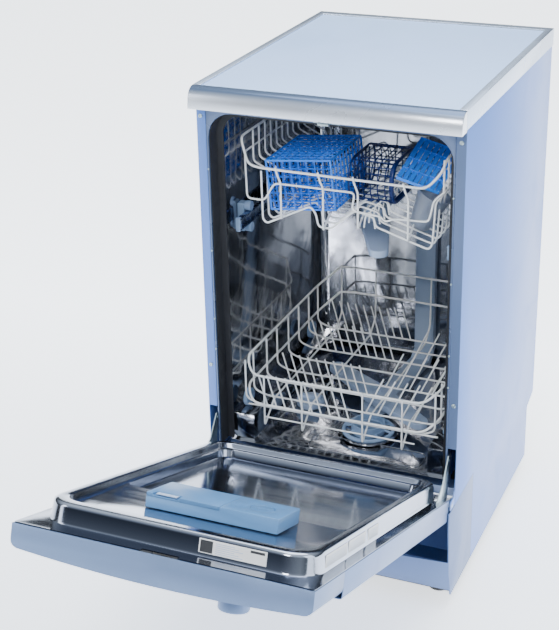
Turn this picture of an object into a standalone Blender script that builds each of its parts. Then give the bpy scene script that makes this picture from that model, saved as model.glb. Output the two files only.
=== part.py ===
"""Slimline free-standing dishwasher with its door part open: every piece as its own closed solid.

Metres, +Z up. X runs across the front (+X is the right-hand side), +Y runs from the door to the rear.
All pieces are drawn in cabinet coordinates: Y = 0 is the front plane of the cabinet's pillars and Z = 0
is the floor. One empty then carries the whole object so that its box is centred on the origin.
The door is drawn closed, and the empty on the hinge axis opens it.
"""

from math import cos, pi, radians, sin

import bmesh
import bpy
from mathutils import Matrix, Vector

# ---------------------------------------------------------------- driving dimensions
WIDTH = 0.446               # across the worktop
HEIGHT = 0.870              # floor to worktop, with the feet wound out as drawn
REAR_Y = 0.544              # rear edge of the worktop
OVERHANG = 0.029            # worktop trim in front of the pillars
FOOT_HEIGHT = 0.024         # floor to the underside of the base tray and plinth
DOOR_OPEN = radians(70.5)   # how far the door stands open as drawn
HINGE_Y = -0.014
HINGE_Z = 0.2025

GAP = 0.0003                # between pieces that touch
SHEET = 0.0012              # steel sheet
RUNNING = 0.0005            # between pieces that pass each other

# worktop
WORKTOP_THICKNESS = 0.031
WORKTOP_BORDER = 0.0125
WORKTOP_REAR_STRIP = 0.019
WORKTOP_PANEL_THICKNESS = 0.007
WORKTOP_PANEL_DROP = 0.002
TRIM_DEPTH = 0.025

# casing
SIDE_INSET = 0.001          # side panels behind the worktop's edge
PILLAR_WIDTH = 0.0155
PILLAR_BOTTOM = 0.300
PILLAR_RETURN = 0.010
SIDE_REAR_INSET = 0.003     # side panels in front of the worktop's rear edge
REAR_STEP = 0.044           # the lower rear stands this much further forward
REAR_STEP_LOW = 0.132
REAR_STEP_HIGH = 0.1455
CHEEK_REAR = 0.110
CHEEK_TOP = 0.1965

# plinth
PLINTH_WALL = 0.0025
PLINTH_LIP_Y = -0.026
PLINTH_LIP_Z = 0.099
PLINTH_TOE_Y = -0.008
LEDGE_Z = 0.085
LEDGE_REAR = 0.030
BULKHEAD_Y = 0.0790
BULKHEAD_FOOT_Z = 0.128

# tub
FRAME_LIP = 0.0032
FRAME_DEPTH = 0.033
FRAME_TOP_MARGIN = 0.014
OPENING_RADIUS = 0.042
TUB_FLOOR = 0.2200
TUB_REAR_CLEARANCE = 0.070
TUB_BOTTOM_RADIUS = 0.012
LEDGE_TOP = 0.2665          # the lower basket's wheels run at this height
LEDGE_WIDTH = 0.043
LEDGE_FRONT = 0.046
GASKET_LIP = 0.0125
GASKET_THICKNESS = 0.0035

# water system
SUMP_X = 0.020
SUMP_Y = 0.141
SUMP_RADIUS = 0.046
SUMP_BOTTOM = 0.115
FILTER_RADIUS = 0.030
FILTER_FLANGE_RADIUS = 0.053
SALT_X = -0.115
SALT_Y = 0.204
SALT_RADIUS = 0.026
LOWER_ARM_X = 0.005
LOWER_ARM_Y = 0.228
LOWER_ARM_Z = 0.2440
LOWER_ARM_REACH = 0.145
LOWER_ARM_ANGLE = radians(-36)
UPPER_ARM_Y = 0.225
UPPER_ARM_DROP = 0.0405     # arm's top below the upper basket's floor
UPPER_ARM_REACH = 0.158
UPPER_ARM_ANGLE = radians(-68)
ARM_THICKNESS = 0.012
ARM_WIDTH = 0.040
SPINDLE_RADIUS = 0.006
DUCT_WIDTH = 0.038
DUCT_DEPTH = 0.016
DRAIN_PLACE = (-0.020, 0.075)
DRAIN_RADIUS = 0.009
TUB_REAR_TURN = 0.022       # the tub's rear wall curves into its floor, sides and roof

# baskets
BASKET_FRONT = 0.047
WIRE = 0.0045
UPPER_RIM_BELOW_TUB_TOP = 0.095
UPPER_BASKET_HEIGHT = 0.095
UPPER_SIDE_RISE = 0.040
LOWER_RIM_FRONT = 0.345
LOWER_RIM_REAR = 0.405
LOWER_BASKET_FLOOR = 0.292
LOWER_FEET = 0.2590
WHEEL_RADIUS = 0.016
WHEEL_WIDTH = 0.0080
RAIL_HEIGHT = 0.020
RAIL_THICKNESS = 0.0095
ROLLER_RADIUS = 0.0085
ROLLER_SETBACK = 0.058      # roller axles behind the baskets' front

# door
DOOR_TOP_CLEARANCE = 0.004
DOOR_THICKNESS = 0.040
DOOR_SKIN_Y = -0.002        # inner face of the closed door, in front of the pillars
DOOR_BOTTOM = 0.118
FASCIA_HEIGHT = 0.1115
FASCIA_CORNER_DEPTH = 0.034
FASCIA_BULGE = 0.009
FASCIA_WALL = 0.0025
PAN_DEPTH = 0.029
PAN_BOTTOM = 0.2205
PAN_TOP_MARGIN = 0.0355
PAN_RADIUS = 0.045
PAN_DRAFT = 0.0018
PAN_RIM = 0.015
HINGE_RIM = 0.0105
POCKET_DEPTH = 0.024
PLATEAU_DEPTH = 0.010
PLATEAU_LENGTH = 0.170
DISPENSER_LENGTH = 0.200
DISPENSER_WIDTH = 0.080
DISPENSER_X = 0.008
DISPENSER_HEIGHT = 0.0215
DISPENSER_BELOW_PAN_TOP = 0.103
LID_THICKNESS = 0.0055
KNOB_X = 0.090
KNOB_RADIUS = 0.022
KNOB_DEPTH = 0.026
BUTTON_RADIUS = 0.0085
BUTTON_TRAVEL = 0.003
ROD_RADIUS = 0.003
BORE_RADIUS = 0.0032
ARM_HOLE_RADIUS = 0.0032

# feet
FOOT_X_INSET = 0.037
FOOT_FRONT_Y = 0.045
FOOT_REAR_INSET = 0.055
FOOT_PAD = 0.005
FOOT_RADIUS = 0.019

# ---------------------------------------------------------------- positions worked out from them
HALF = WIDTH / 2
SIDE_OUT = HALF - SIDE_INSET
SIDE_IN = SIDE_OUT - SHEET
SIDE_REAR = REAR_Y - SIDE_REAR_INSET
LOWER_REAR = SIDE_REAR - REAR_STEP
CHEEK_IN = SIDE_OUT - PLINTH_WALL
DOOR_HALF = CHEEK_IN - 2 * RUNNING
DOOR_CORE = DOOR_HALF - 0.0135
WORKTOP_BOTTOM = HEIGHT - WORKTOP_THICKNESS
CASE_TOP = WORKTOP_BOTTOM - GAP
PILLAR_IN = SIDE_OUT - PILLAR_WIDTH
FRAME_OUT = PILLAR_IN - GAP
FRAME_IN = FRAME_OUT - FRAME_LIP
FRAME_TOP = WORKTOP_BOTTOM - FRAME_TOP_MARGIN
GASKET_OUT = FRAME_IN - GAP
GASKET_TOP = FRAME_TOP - GAP
GASKET_IN = FRAME_IN - GASKET_LIP
TUB_OUT = FRAME_IN
TUB_IN = TUB_OUT - SHEET
TUB_FRONT = FRAME_DEPTH + 3 * GAP
TUB_REAR = SIDE_REAR - TUB_REAR_CLEARANCE
TUB_TOP = FRAME_TOP - SHEET
LEDGE_IN = TUB_IN - LEDGE_WIDTH
LEDGE_REAR_END = TUB_REAR - 0.040
DOOR_TOP = WORKTOP_BOTTOM - DOOR_TOP_CLEARANCE
DOOR_FRONT = DOOR_SKIN_Y - DOOR_THICKNESS
FASCIA_BOTTOM = DOOR_TOP - FASCIA_HEIGHT
FASCIA_CORNER_Y = DOOR_SKIN_Y - FASCIA_CORNER_DEPTH
LINER_BACK = DOOR_SKIN_Y - SHEET
PAN_HALF = GASKET_OUT - SHEET - 0.0015
PAN_TOP = DOOR_TOP - PAN_TOP_MARGIN
PAN_RIM_Y = DOOR_SKIN_Y + PAN_DEPTH
RAIL_OUT = GASKET_IN - 0.0030
RAIL_IN = RAIL_OUT - RAIL_THICKNESS
BASKET_HALF = RAIL_IN - 0.0035
BASKET_REAR = TUB_REAR - 0.040
UPPER_RIM = TUB_TOP - UPPER_RIM_BELOW_TUB_TOP
UPPER_FLOOR = UPPER_RIM - UPPER_BASKET_HEIGHT
UPPER_ARM_TOP = UPPER_FLOOR - UPPER_ARM_DROP + 0.0005
RAIL_LOW = UPPER_FLOOR - 0.028
RAIL_HIGH = RAIL_LOW + RAIL_HEIGHT
FOOT_X = HALF - FOOT_X_INSET
FOOT_REAR_Y = LOWER_REAR - FOOT_REAR_INSET
PLATEAU_Y = PAN_RIM_Y - PLATEAU_DEPTH
POCKET_Y = PAN_RIM_Y - POCKET_DEPTH
DISPENSER_TOP_Z = PAN_TOP - DISPENSER_BELOW_PAN_TOP
DISPENSER_LOW_Z = DISPENSER_TOP_Z - DISPENSER_WIDTH
TRAY_TOP = FOOT_HEIGHT + GAP + 2 * SHEET


def opened_front():
    """The frontmost Y of the door's free end as drawn: its outer corner turned about the hinge."""
    reach = []
    for y, z in ((FASCIA_CORNER_Y - FASCIA_BULGE, DOOR_TOP), (DOOR_SKIN_Y, DOOR_TOP)):
        reach.append(HINGE_Y + (y - HINGE_Y) * cos(DOOR_OPEN) - (z - HINGE_Z) * sin(DOOR_OPEN))
    return min(reach)


# ---------------------------------------------------------------- scene and materials
for old in list(bpy.data.objects):
    bpy.data.objects.remove(old)


def empty(name, location, parent=None):
    item = bpy.data.objects.new(name, None)
    item.location = location
    item.parent = parent
    bpy.context.collection.objects.link(item)
    return item


def material(name, colour, roughness, metallic=0.0):
    mat = bpy.data.materials.new(name)
    mat.use_nodes = True
    shader = mat.node_tree.nodes["Principled BSDF"]
    shader.inputs["Base Color"].default_value = (*colour, 1.0)
    shader.inputs["Roughness"].default_value = roughness
    shader.inputs["Metallic"].default_value = metallic
    mat.diffuse_color = (*colour, 1.0)
    return mat


SILVER = material("silver_paint", (0.55, 0.62, 0.74), 0.35, 0.3)
WORKTOP = material("worktop_laminate", (0.60, 0.66, 0.76), 0.45)
STEEL = material("stainless_steel", (0.55, 0.54, 0.53), 0.18, 1.0)
ZINC = material("zinc_plate", (0.55, 0.66, 0.68), 0.35, 1.0)
RUBBER = material("black_rubber", (0.02, 0.02, 0.025), 0.7)
WHITE_WIRE = material("white_coated_wire", (0.85, 0.88, 0.90), 0.3)
PALE_PLASTIC = material("pale_blue_plastic", (0.45, 0.58, 0.70), 0.4)
GREY_BLUE = material("grey_blue_plastic", (0.36, 0.46, 0.60), 0.45)
BRIGHT_BLUE = material("bright_blue_plastic", (0.04, 0.17, 0.65), 0.4)
DEEP_BLUE = material("deep_blue_plastic", (0.02, 0.06, 0.30), 0.4)
CLEAR_PLASTIC = material("clear_plastic", (0.70, 0.76, 0.85), 0.2)
BLACK_PLASTIC = material("black_plastic", (0.03, 0.03, 0.035), 0.5)

CABINET = empty("cabinet", (0, -(opened_front() + REAR_Y) / 2, 0))
DOOR_AXIS = empty("door_axis", (0, HINGE_Y, HINGE_Z), CABINET)
DOOR_AXIS.rotation_euler.x = DOOR_OPEN


def local(origin, parent):
    """A place in cabinet coordinates, as a location under its parent."""
    base = Vector((0, HINGE_Y, HINGE_Z)) if parent is DOOR_AXIS else Vector((0, 0, 0))
    return Vector(origin) - base


def make(name, bm, mat, parent=CABINET, origin=(0, 0, 0), smooth=None):
    """Turn a bmesh drawn in cabinet coordinates into an object whose origin is at the given place."""
    bmesh.ops.recalc_face_normals(bm, faces=bm.faces)
    bmesh.ops.translate(bm, verts=bm.verts, vec=-Vector(origin))
    mesh = bpy.data.meshes.new(name)
    bm.to_mesh(mesh)
    bm.free()
    mesh.materials.append(mat)
    if smooth:
        mesh.shade_smooth()
        mesh.set_sharp_from_angle(angle=radians(smooth))
    item = bpy.data.objects.new(name, mesh)
    item.location = local(origin, parent)
    item.parent = parent
    bpy.context.collection.objects.link(item)
    return item


def combine(target, bm, operation, overlapping=False):
    """Cut a bmesh drawn in cabinet coordinates out of a piece, or join it on."""
    origin = target.location + (Vector((0, HINGE_Y, HINGE_Z)) if target.parent is DOOR_AXIS else Vector())
    count = len(target.modifiers)
    tool = make(f"{target.name}_tool_{count}", bm, target.data.materials[0], target.parent, origin)
    tool.hide_render = True
    tool.display_type = "WIRE"
    step = target.modifiers.new(f"{operation.lower()}_{count}", "BOOLEAN")
    step.operation = operation
    step.solver = "EXACT"
    step.use_self = overlapping
    step.object = tool
    return tool


def cut(target, bm, overlapping=False):
    return combine(target, bm, "DIFFERENCE", overlapping)


def join(target, bm, overlapping=False):
    return combine(target, bm, "UNION", overlapping)


# ---------------------------------------------------------------- shape helpers
def box(bm, x, y, z):
    """A block between the two values of each of x, y and z."""
    size = (x[1] - x[0], y[1] - y[0], z[1] - z[0])
    centre = ((x[0] + x[1]) / 2, (y[0] + y[1]) / 2, (z[0] + z[1]) / 2)
    bmesh.ops.create_cube(bm, size=1, matrix=Matrix.Translation(centre) @ Matrix.Diagonal((*size, 1)))


def mirrored_boxes(bm, x, y, z):
    box(bm, x, y, z)
    box(bm, (-x[1], -x[0]), y, z)


AXES = {"X": (1, 2, 0), "Y": (0, 2, 1), "Z": (0, 1, 2)}


def at(axis, u, v, w):
    place = [0.0, 0.0, 0.0]
    for slot, value in zip(AXES[axis], (u, v, w)):
        place[slot] = value
    return place


def loft(bm, rings):
    """A closed body through rings of the same number of points, with flat ends."""
    loops = [[bm.verts.new(p) for p in ring] for ring in rings]
    count = len(loops[0])
    for low, high in zip(loops, loops[1:]):
        for i in range(count):
            j = (i + 1) % count
            bm.faces.new((low[i], low[j], high[j], high[i]))
    bm.faces.new(list(reversed(loops[0])))
    bm.faces.new(loops[-1])


def prism(bm, outline, axis, low, high):
    """A flat outline extruded along one axis."""
    loft(bm, [[at(axis, u, v, w) for u, v in outline] for w in (low, high)])


def ring_points(axis, centre, radius, w, segments, phase=0.0):
    turn = [2 * pi * (i + phase) / segments for i in range(segments)]
    return [at(axis, centre[0] + radius * cos(a), centre[1] + radius * sin(a), w) for a in turn]


def turned(bm, axis, centre, profile, segments=20):
    """A turned body: profile is (radius, distance along the axis), from one flat end to the other."""
    loft(bm, [ring_points(axis, centre, r, w, segments) for r, w in profile])


def rounded_rectangle(u, v, radii, steps=4):
    """Outline of a rectangle; radii are for the corners low-low, high-low, high-high, low-high."""
    corners = ((u[0], v[0], 1, 1, pi), (u[1], v[0], -1, 1, 1.5 * pi),
               (u[1], v[1], -1, -1, 0.0), (u[0], v[1], 1, -1, 0.5 * pi))
    points = []
    for (cu, cv, su, sv, start), r in zip(corners, radii):
        for i in range(steps + 1):
            a = start + 0.5 * pi * i / steps
            points.append((cu + su * r + r * cos(a), cv + sv * r + r * sin(a)))
    return points


def arch(half, bottom, top, radius, steps=6):
    """An open path up the left side, round the two top corners and down the right side."""
    path = [(-half, bottom)]
    for i in range(steps + 1):
        a = pi - 0.5 * pi * i / steps
        path.append((-half + radius + radius * cos(a), top - radius + radius * sin(a)))
    for i in range(steps + 1):
        a = 0.5 * pi - 0.5 * pi * i / steps
        path.append((half - radius + radius * cos(a), top - radius + radius * sin(a)))
    path.append((half, bottom))
    return path


def bar(bm, start, end, size):
    """A square bar between two points."""
    start, end = Vector(start), Vector(end)
    run = end - start
    turn = run.to_track_quat("Z", "Y").to_matrix().to_4x4()
    scale = Matrix.Diagonal((size, size, run.length + size, 1))
    bmesh.ops.create_cube(bm, size=1, matrix=Matrix.Translation((start + end) / 2) @ turn @ scale)


def wire_frame(name, across, along, upright, slender, origin):
    """Wires welded into one body; each direction is a little thinner than the one before."""
    bars = [(*ends, WIRE) for ends in across] + [(*ends, WIRE * 0.93) for ends in along]
    bars += [(*ends, WIRE * 0.86) for ends in upright] + [(*ends, WIRE * 0.79) for ends in slender]
    first = bmesh.new()
    bar(first, *bars[0])
    frame = make(name, first, WHITE_WIRE, CABINET, origin)
    rest = bmesh.new()
    for item in bars[1:]:
        bar(rest, *item)
    join(frame, rest, overlapping=True)
    return frame


# ---------------------------------------------------------------- worktop
def worktop():
    bm = bmesh.new()
    inner = HALF - WORKTOP_BORDER
    box(bm, (-HALF, HALF), (-OVERHANG + TRIM_DEPTH + GAP, REAR_Y), (WORKTOP_BOTTOM, HEIGHT))
    frame = make("worktop_frame", bm, SILVER)
    front = -OVERHANG + TRIM_DEPTH
    rear = REAR_Y - WORKTOP_REAR_STRIP
    seat = HEIGHT - WORKTOP_PANEL_DROP - WORKTOP_PANEL_THICKNESS - GAP
    hollow = bmesh.new()
    box(hollow, (-inner, inner), (front - 0.01, rear), (seat, HEIGHT + 0.01))
    cut(frame, hollow)
    through = bmesh.new()
    shelf = 0.010
    box(through, (-inner + shelf, inner - shelf), (front - 0.01, rear - shelf), (WORKTOP_BOTTOM - 0.01, seat + 0.01))
    cut(frame, through)

    bm = bmesh.new()
    box(bm, (-inner + GAP, inner - GAP), (front + GAP, rear - GAP),
        (seat + GAP, seat + GAP + WORKTOP_PANEL_THICKNESS))
    make("worktop_panel", bm, WORKTOP)

    bm = bmesh.new()
    nose = 0.0135
    outline = [(front, WORKTOP_BOTTOM), (front, HEIGHT)]
    for i in range(9):
        a = 0.5 * pi + pi * 0.5 * i / 8
        outline.append((-OVERHANG + nose + nose * cos(a), HEIGHT - nose + nose * sin(a)))
    chin = 0.008
    for i in range(5):
        a = pi + 0.5 * pi * i / 4
        outline.append((-OVERHANG + chin + chin * cos(a), WORKTOP_BOTTOM + chin + chin * sin(a)))
    prism(bm, outline, "X", -HALF, HALF)
    make("worktop_front_trim", bm, SILVER, smooth=35)


# ---------------------------------------------------------------- casing
def side_panel(name, side):
    """Sheet with a folded pillar at the front, a flange at the rear, and the door hinge's lug."""
    def x(low, high):
        return (low, high) if side > 0 else (-high, -low)

    bm = bmesh.new()
    outline = [(CHEEK_REAR + GAP, FOOT_HEIGHT), (LOWER_REAR, FOOT_HEIGHT), (LOWER_REAR, REAR_STEP_LOW),
               (SIDE_REAR, REAR_STEP_HIGH), (SIDE_REAR, CASE_TOP), (0, CASE_TOP),
               (0, CHEEK_TOP + GAP), (CHEEK_REAR + GAP, CHEEK_TOP + GAP)]
    prism(bm, outline, "X", *x(SIDE_IN, SIDE_OUT))
    panel = make(name, bm, SILVER)
    folds = bmesh.new()
    box(folds, x(PILLAR_IN, SIDE_OUT - SHEET / 2), (0, SHEET), (PILLAR_BOTTOM, CASE_TOP))
    box(folds, x(PILLAR_IN, PILLAR_IN + SHEET), (SHEET / 2, PILLAR_RETURN), (PILLAR_BOTTOM, CASE_TOP))
    box(folds, x(PILLAR_IN, SIDE_OUT - SHEET / 2), (SIDE_REAR - SHEET, SIDE_REAR), (REAR_STEP_HIGH, CASE_TOP))
    join(panel, folds, overlapping=True)
    lug = bmesh.new()
    head = 0.0105
    lug_in = DOOR_HALF + RUNNING
    outline = [(0.050, CHEEK_TOP + 2 * GAP), (0.050, 0.235), (0.004, 0.235), (-0.006, HINGE_Z + head)]
    for i in range(7):
        a = 0.5 * pi + pi * i / 6
        z = max(CHEEK_TOP + 2 * GAP, HINGE_Z + head * sin(a))
        outline.append((HINGE_Y + head * cos(a), z))
    prism(lug, outline, "X", *x(lug_in, SIDE_OUT - SHEET / 2))
    join(panel, lug)
    bore = bmesh.new()
    turned(bore, "X", (HINGE_Y, HINGE_Z), [(BORE_RADIUS, v) for v in x(lug_in - 0.01, SIDE_OUT + 0.01)], 24)
    cut(panel, bore)
    return panel


def rear_panel():
    bm = bmesh.new()
    low = REAR_STEP_HIGH + 0.004
    box(bm, (-SIDE_IN + GAP, SIDE_IN - GAP), (SIDE_REAR - 2 * SHEET - GAP, SIDE_REAR - SHEET - GAP),
        (low, CASE_TOP))
    panel = make("rear_panel", bm, ZINC)
    swage = bmesh.new()
    box(swage, (-0.15, 0.15), (SIDE_REAR - SHEET - 2 * GAP, SIDE_REAR), (low + 0.08, CASE_TOP - 0.08))
    join(panel, swage)


def plinth():
    """Moulding with a sloped front, two cheeks and a ledge that leaves room for the door's lower end."""
    bm = bmesh.new()
    front = [(PLINTH_TOE_Y, FOOT_HEIGHT), (PLINTH_TOE_Y - 0.009, FOOT_HEIGHT + 0.025),
             (PLINTH_LIP_Y + 0.002, PLINTH_LIP_Z - 0.025), (PLINTH_LIP_Y, PLINTH_LIP_Z),
             (PLINTH_LIP_Y - 0.004, CHEEK_TOP - 0.03), (PLINTH_LIP_Y - 0.004, CHEEK_TOP)]
    outline = [(CHEEK_REAR, CHEEK_TOP), (CHEEK_REAR, FOOT_HEIGHT)] + front
    prism(bm, outline, "X", -SIDE_OUT, SIDE_OUT)
    body = make("plinth", bm, SILVER, smooth=30)
    wall = PLINTH_WALL
    recess = bmesh.new()
    prism(recess, [(-0.06, PLINTH_LIP_Z), (PLINTH_LIP_Y + wall, PLINTH_LIP_Z), (PLINTH_LIP_Y + wall, LEDGE_Z),
                   (LEDGE_REAR, LEDGE_Z), (BULKHEAD_Y - wall, BULKHEAD_FOOT_Z), (BULKHEAD_Y - wall, 0.3),
                   (-0.06, 0.3)], "X", -CHEEK_IN, CHEEK_IN)
    cut(body, recess)
    under = bmesh.new()
    prism(under, [(PLINTH_TOE_Y + wall, 0), (PLINTH_TOE_Y - 0.009 + wall, FOOT_HEIGHT + 0.025),
                  (PLINTH_LIP_Y + 0.002 + wall, PLINTH_LIP_Z - 0.025),
                  (PLINTH_LIP_Y + 2 * wall, LEDGE_Z - wall), (LEDGE_REAR + 0.001, LEDGE_Z - wall),
                  (BULKHEAD_Y, BULKHEAD_FOOT_Z - 0.001), (BULKHEAD_Y, 0.3), (0.2, 0.3), (0.2, 0)],
          "X", -CHEEK_IN, CHEEK_IN)
    cut(body, under)
    return body


def base_tray():
    bm = bmesh.new()
    half = CHEEK_IN - RUNNING
    low = FOOT_HEIGHT + GAP
    box(bm, (-half, half), (PLINTH_TOE_Y + PLINTH_WALL + 0.006, LOWER_REAR), (low, TRAY_TOP))
    tray = make("base_tray", bm, BLACK_PLASTIC)
    walls = bmesh.new()
    box(walls, (-half, half), (LOWER_REAR - 2 * SHEET, LOWER_REAR), (low + SHEET, REAR_STEP_LOW - 0.004))
    mirrored_boxes(walls, (half - 2 * SHEET, half), (CHEEK_REAR + 0.004, LOWER_REAR - SHEET), (low + SHEET, 0.060))
    box(walls, (-0.03, 0.07), (0.215, 0.225), (low + SHEET, 0.058))
    box(walls, (-0.03, 0.07), (0.345, 0.355), (low + SHEET, 0.058))
    join(tray, walls, overlapping=True)
    holes = bmesh.new()
    for x in (-FOOT_X, FOOT_X):
        for y in (FOOT_FRONT_Y, FOOT_REAR_Y):
            turned(holes, "Z", (x, y), ((0.0062, 0.0), (0.0062, 0.08)), 16)
    turned(holes, "Y", DRAIN_PLACE, ((DRAIN_RADIUS + RUNNING, LOWER_REAR - 0.02), (DRAIN_RADIUS + RUNNING, LOWER_REAR + 0.01)),
           16)
    cut(tray, holes)
    return tray


def foot(name, x, y):
    bm = bmesh.new()
    turned(bm, "Z", (x, y), ((FOOT_RADIUS - 0.002, 0), (FOOT_RADIUS, FOOT_PAD * 0.4), (FOOT_RADIUS, FOOT_PAD),
                             (0.0055, FOOT_PAD + 0.0002), (0.0055, 0.062)), 18)
    make(name, bm, BLACK_PLASTIC, origin=(x, y, 0), smooth=40)


# ---------------------------------------------------------------- tub
def tub():
    def ring(half, low, high, y, shrink, radius):
        outline = rounded_rectangle((-half + shrink, half - shrink), (low + shrink, high - shrink),
                                    (TUB_BOTTOM_RADIUS, TUB_BOTTOM_RADIUS, radius, radius), 5)
        return [at("Y", u, v, y) for u, v in outline]

    def shell(front, inset):
        half, low, high = TUB_OUT - inset, TUB_FLOOR - SHEET + inset, FRAME_TOP - inset
        turn, back = TUB_REAR_TURN, TUB_REAR - inset
        radius = OPENING_RADIUS - inset
        rings = [ring(half, low, high, front, 0, radius)]
        for i in range(4):
            a = 0.5 * pi * i / 3
            rings.append(ring(half, low, high, back - turn + turn * sin(a), (turn - turn * cos(a)) / 2, radius))
        bm = bmesh.new()
        loft(bm, rings)
        return bm

    body = make("tub", shell(TUB_FRONT, 0), STEEL, smooth=35)
    cavity = cut(body, shell(TUB_FRONT - 0.02, SHEET))
    ledges = bmesh.new()
    mirrored_boxes(ledges, (LEDGE_IN, TUB_OUT), (LEDGE_FRONT, LEDGE_REAR_END), (TUB_FLOOR - 0.01, LEDGE_TOP))
    cut(cavity, ledges)
    hollows = bmesh.new()
    mirrored_boxes(hollows, (LEDGE_IN + SHEET, TUB_IN - GAP), (LEDGE_FRONT + SHEET, LEDGE_REAR_END - SHEET),
                   (TUB_FLOOR - 0.02, LEDGE_TOP - SHEET))
    turned(hollows, "Z", (SUMP_X, SUMP_Y), ((SUMP_RADIUS + RUNNING, 0.18), (SUMP_RADIUS + RUNNING, 0.235)), 28)
    turned(hollows, "Z", (SALT_X, SALT_Y), ((0.0245, 0.18), (0.0245, 0.235)), 24)
    cut(body, hollows)
    return body


def tub_front_frame():
    """Flat steel surround between the pillars, with a collar that holds the gasket."""
    low = TUB_FLOOR + 0.002
    bm = bmesh.new()
    inside = arch(FRAME_IN, low, FRAME_TOP, OPENING_RADIUS)
    outside = [(FRAME_OUT, low), (FRAME_OUT, CASE_TOP), (-FRAME_OUT, CASE_TOP), (-FRAME_OUT, low)]
    prism(bm, inside + outside, "Y", RUNNING, RUNNING + SHEET)
    frame = make("tub_front_frame", bm, STEEL, smooth=35)
    collar = bmesh.new()
    outer = arch(FRAME_IN + SHEET, low, FRAME_TOP + SHEET, OPENING_RADIUS + SHEET)
    prism(collar, inside + list(reversed(outer)), "Y", RUNNING, FRAME_DEPTH)
    join(frame, collar)


def door_gasket():
    low = TUB_FLOOR + 0.006
    outer = arch(GASKET_OUT, low, GASKET_TOP, OPENING_RADIUS - GAP)
    bm = bmesh.new()
    lip = arch(GASKET_IN, low, GASKET_TOP - GASKET_LIP + GAP, OPENING_RADIUS - GASKET_LIP)
    prism(bm, outer + list(reversed(lip)), "Y", FRAME_DEPTH - GASKET_THICKNESS, FRAME_DEPTH)
    gasket = make("door_gasket", bm, RUBBER, smooth=35)
    skirt = bmesh.new()
    inner = arch(GASKET_OUT - SHEET, low, GASKET_TOP - SHEET, OPENING_RADIUS - GAP - SHEET)
    prism(skirt, outer + list(reversed(inner)), "Y", 0.004, FRAME_DEPTH - GASKET_THICKNESS / 2)
    join(gasket, skirt)


def door_strike():
    bm = bmesh.new()
    box(bm, (-0.022, 0.022), (-0.0010, RUNNING - GAP), (FRAME_TOP + 0.0010, FRAME_TOP + 0.0098))
    strike = make("door_strike", bm, ZINC)
    tongue = bmesh.new()
    box(tongue, (-0.009, 0.009), (-0.0165, -0.0004), (FRAME_TOP + 0.0018, FRAME_TOP + 0.0058))
    join(strike, tongue)
    eye = bmesh.new()
    box(eye, (-0.0055, 0.0055), (-0.0135, -0.0055), (FRAME_TOP - 0.01, FRAME_TOP + 0.02))
    cut(strike, eye)


# ---------------------------------------------------------------- water system
def sump():
    top = TUB_FLOOR + GAP
    bm = bmesh.new()
    turned(bm, "Z", (SUMP_X, SUMP_Y), ((SUMP_RADIUS * 0.7, SUMP_BOTTOM), (SUMP_RADIUS * 0.85, SUMP_BOTTOM + 0.02),
                                       (SUMP_RADIUS, SUMP_BOTTOM + 0.05), (SUMP_RADIUS, top)), 28)
    body = make("sump", bm, GREY_BLUE, smooth=35)
    well = bmesh.new()
    wall = 0.0028
    turned(well, "Z", (SUMP_X, SUMP_Y), ((SUMP_RADIUS * 0.7 - wall, SUMP_BOTTOM + wall),
                                         (SUMP_RADIUS * 0.85 - wall, SUMP_BOTTOM + 0.02 + wall),
                                         (SUMP_RADIUS - wall, SUMP_BOTTOM + 0.05 + wall),
                                         (SUMP_RADIUS - wall, top + 0.02)), 28)
    cut(body, well)
    return body


def filter_plate():
    """Ring on the tub floor round the filter, with six windows round its collar."""
    low = TUB_FLOOR + 2 * GAP
    bm = bmesh.new()
    turned(bm, "Z", (SUMP_X, SUMP_Y), ((FILTER_FLANGE_RADIUS, low), (FILTER_FLANGE_RADIUS, low + 0.0030),
                                       (FILTER_RADIUS + 0.007, low + 0.0040), (FILTER_RADIUS + 0.0035, low + 0.0040)),
           28)
    plate = make("filter_plate", bm, PALE_PLASTIC, smooth=35)
    hole = bmesh.new()
    turned(hole, "Z", (SUMP_X, SUMP_Y), ((FILTER_RADIUS + 0.001, low - 0.01), (FILTER_RADIUS + 0.001, low + 0.02)), 28)
    cut(plate, hole)


def filter_cylinder():
    bm = bmesh.new()
    top = TUB_FLOOR + 0.0215
    turned(bm, "Z", (SUMP_X, SUMP_Y), ((FILTER_RADIUS - 0.006, SUMP_BOTTOM + 0.03), (FILTER_RADIUS - 0.001, 0.205),
                                       (FILTER_RADIUS, TUB_FLOOR), (FILTER_RADIUS, top)), 24)
    body = make("filter_cylinder", bm, PALE_PLASTIC, origin=(SUMP_X, SUMP_Y, TUB_FLOOR), smooth=35)
    bore = bmesh.new()
    turned(bore, "Z", (SUMP_X, SUMP_Y), ((FILTER_RADIUS - 0.009, SUMP_BOTTOM + 0.033), (FILTER_RADIUS - 0.004, 0.207),
                                         (FILTER_RADIUS - 0.003, top + 0.01)), 24)
    cut(body, bore)
    grip = bmesh.new()
    box(grip, (SUMP_X - FILTER_RADIUS + 0.002, SUMP_X + FILTER_RADIUS - 0.002), (SUMP_Y - 0.002, SUMP_Y + 0.002),
        (top - 0.012, top - 0.002))
    join(body, grip)


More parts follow.
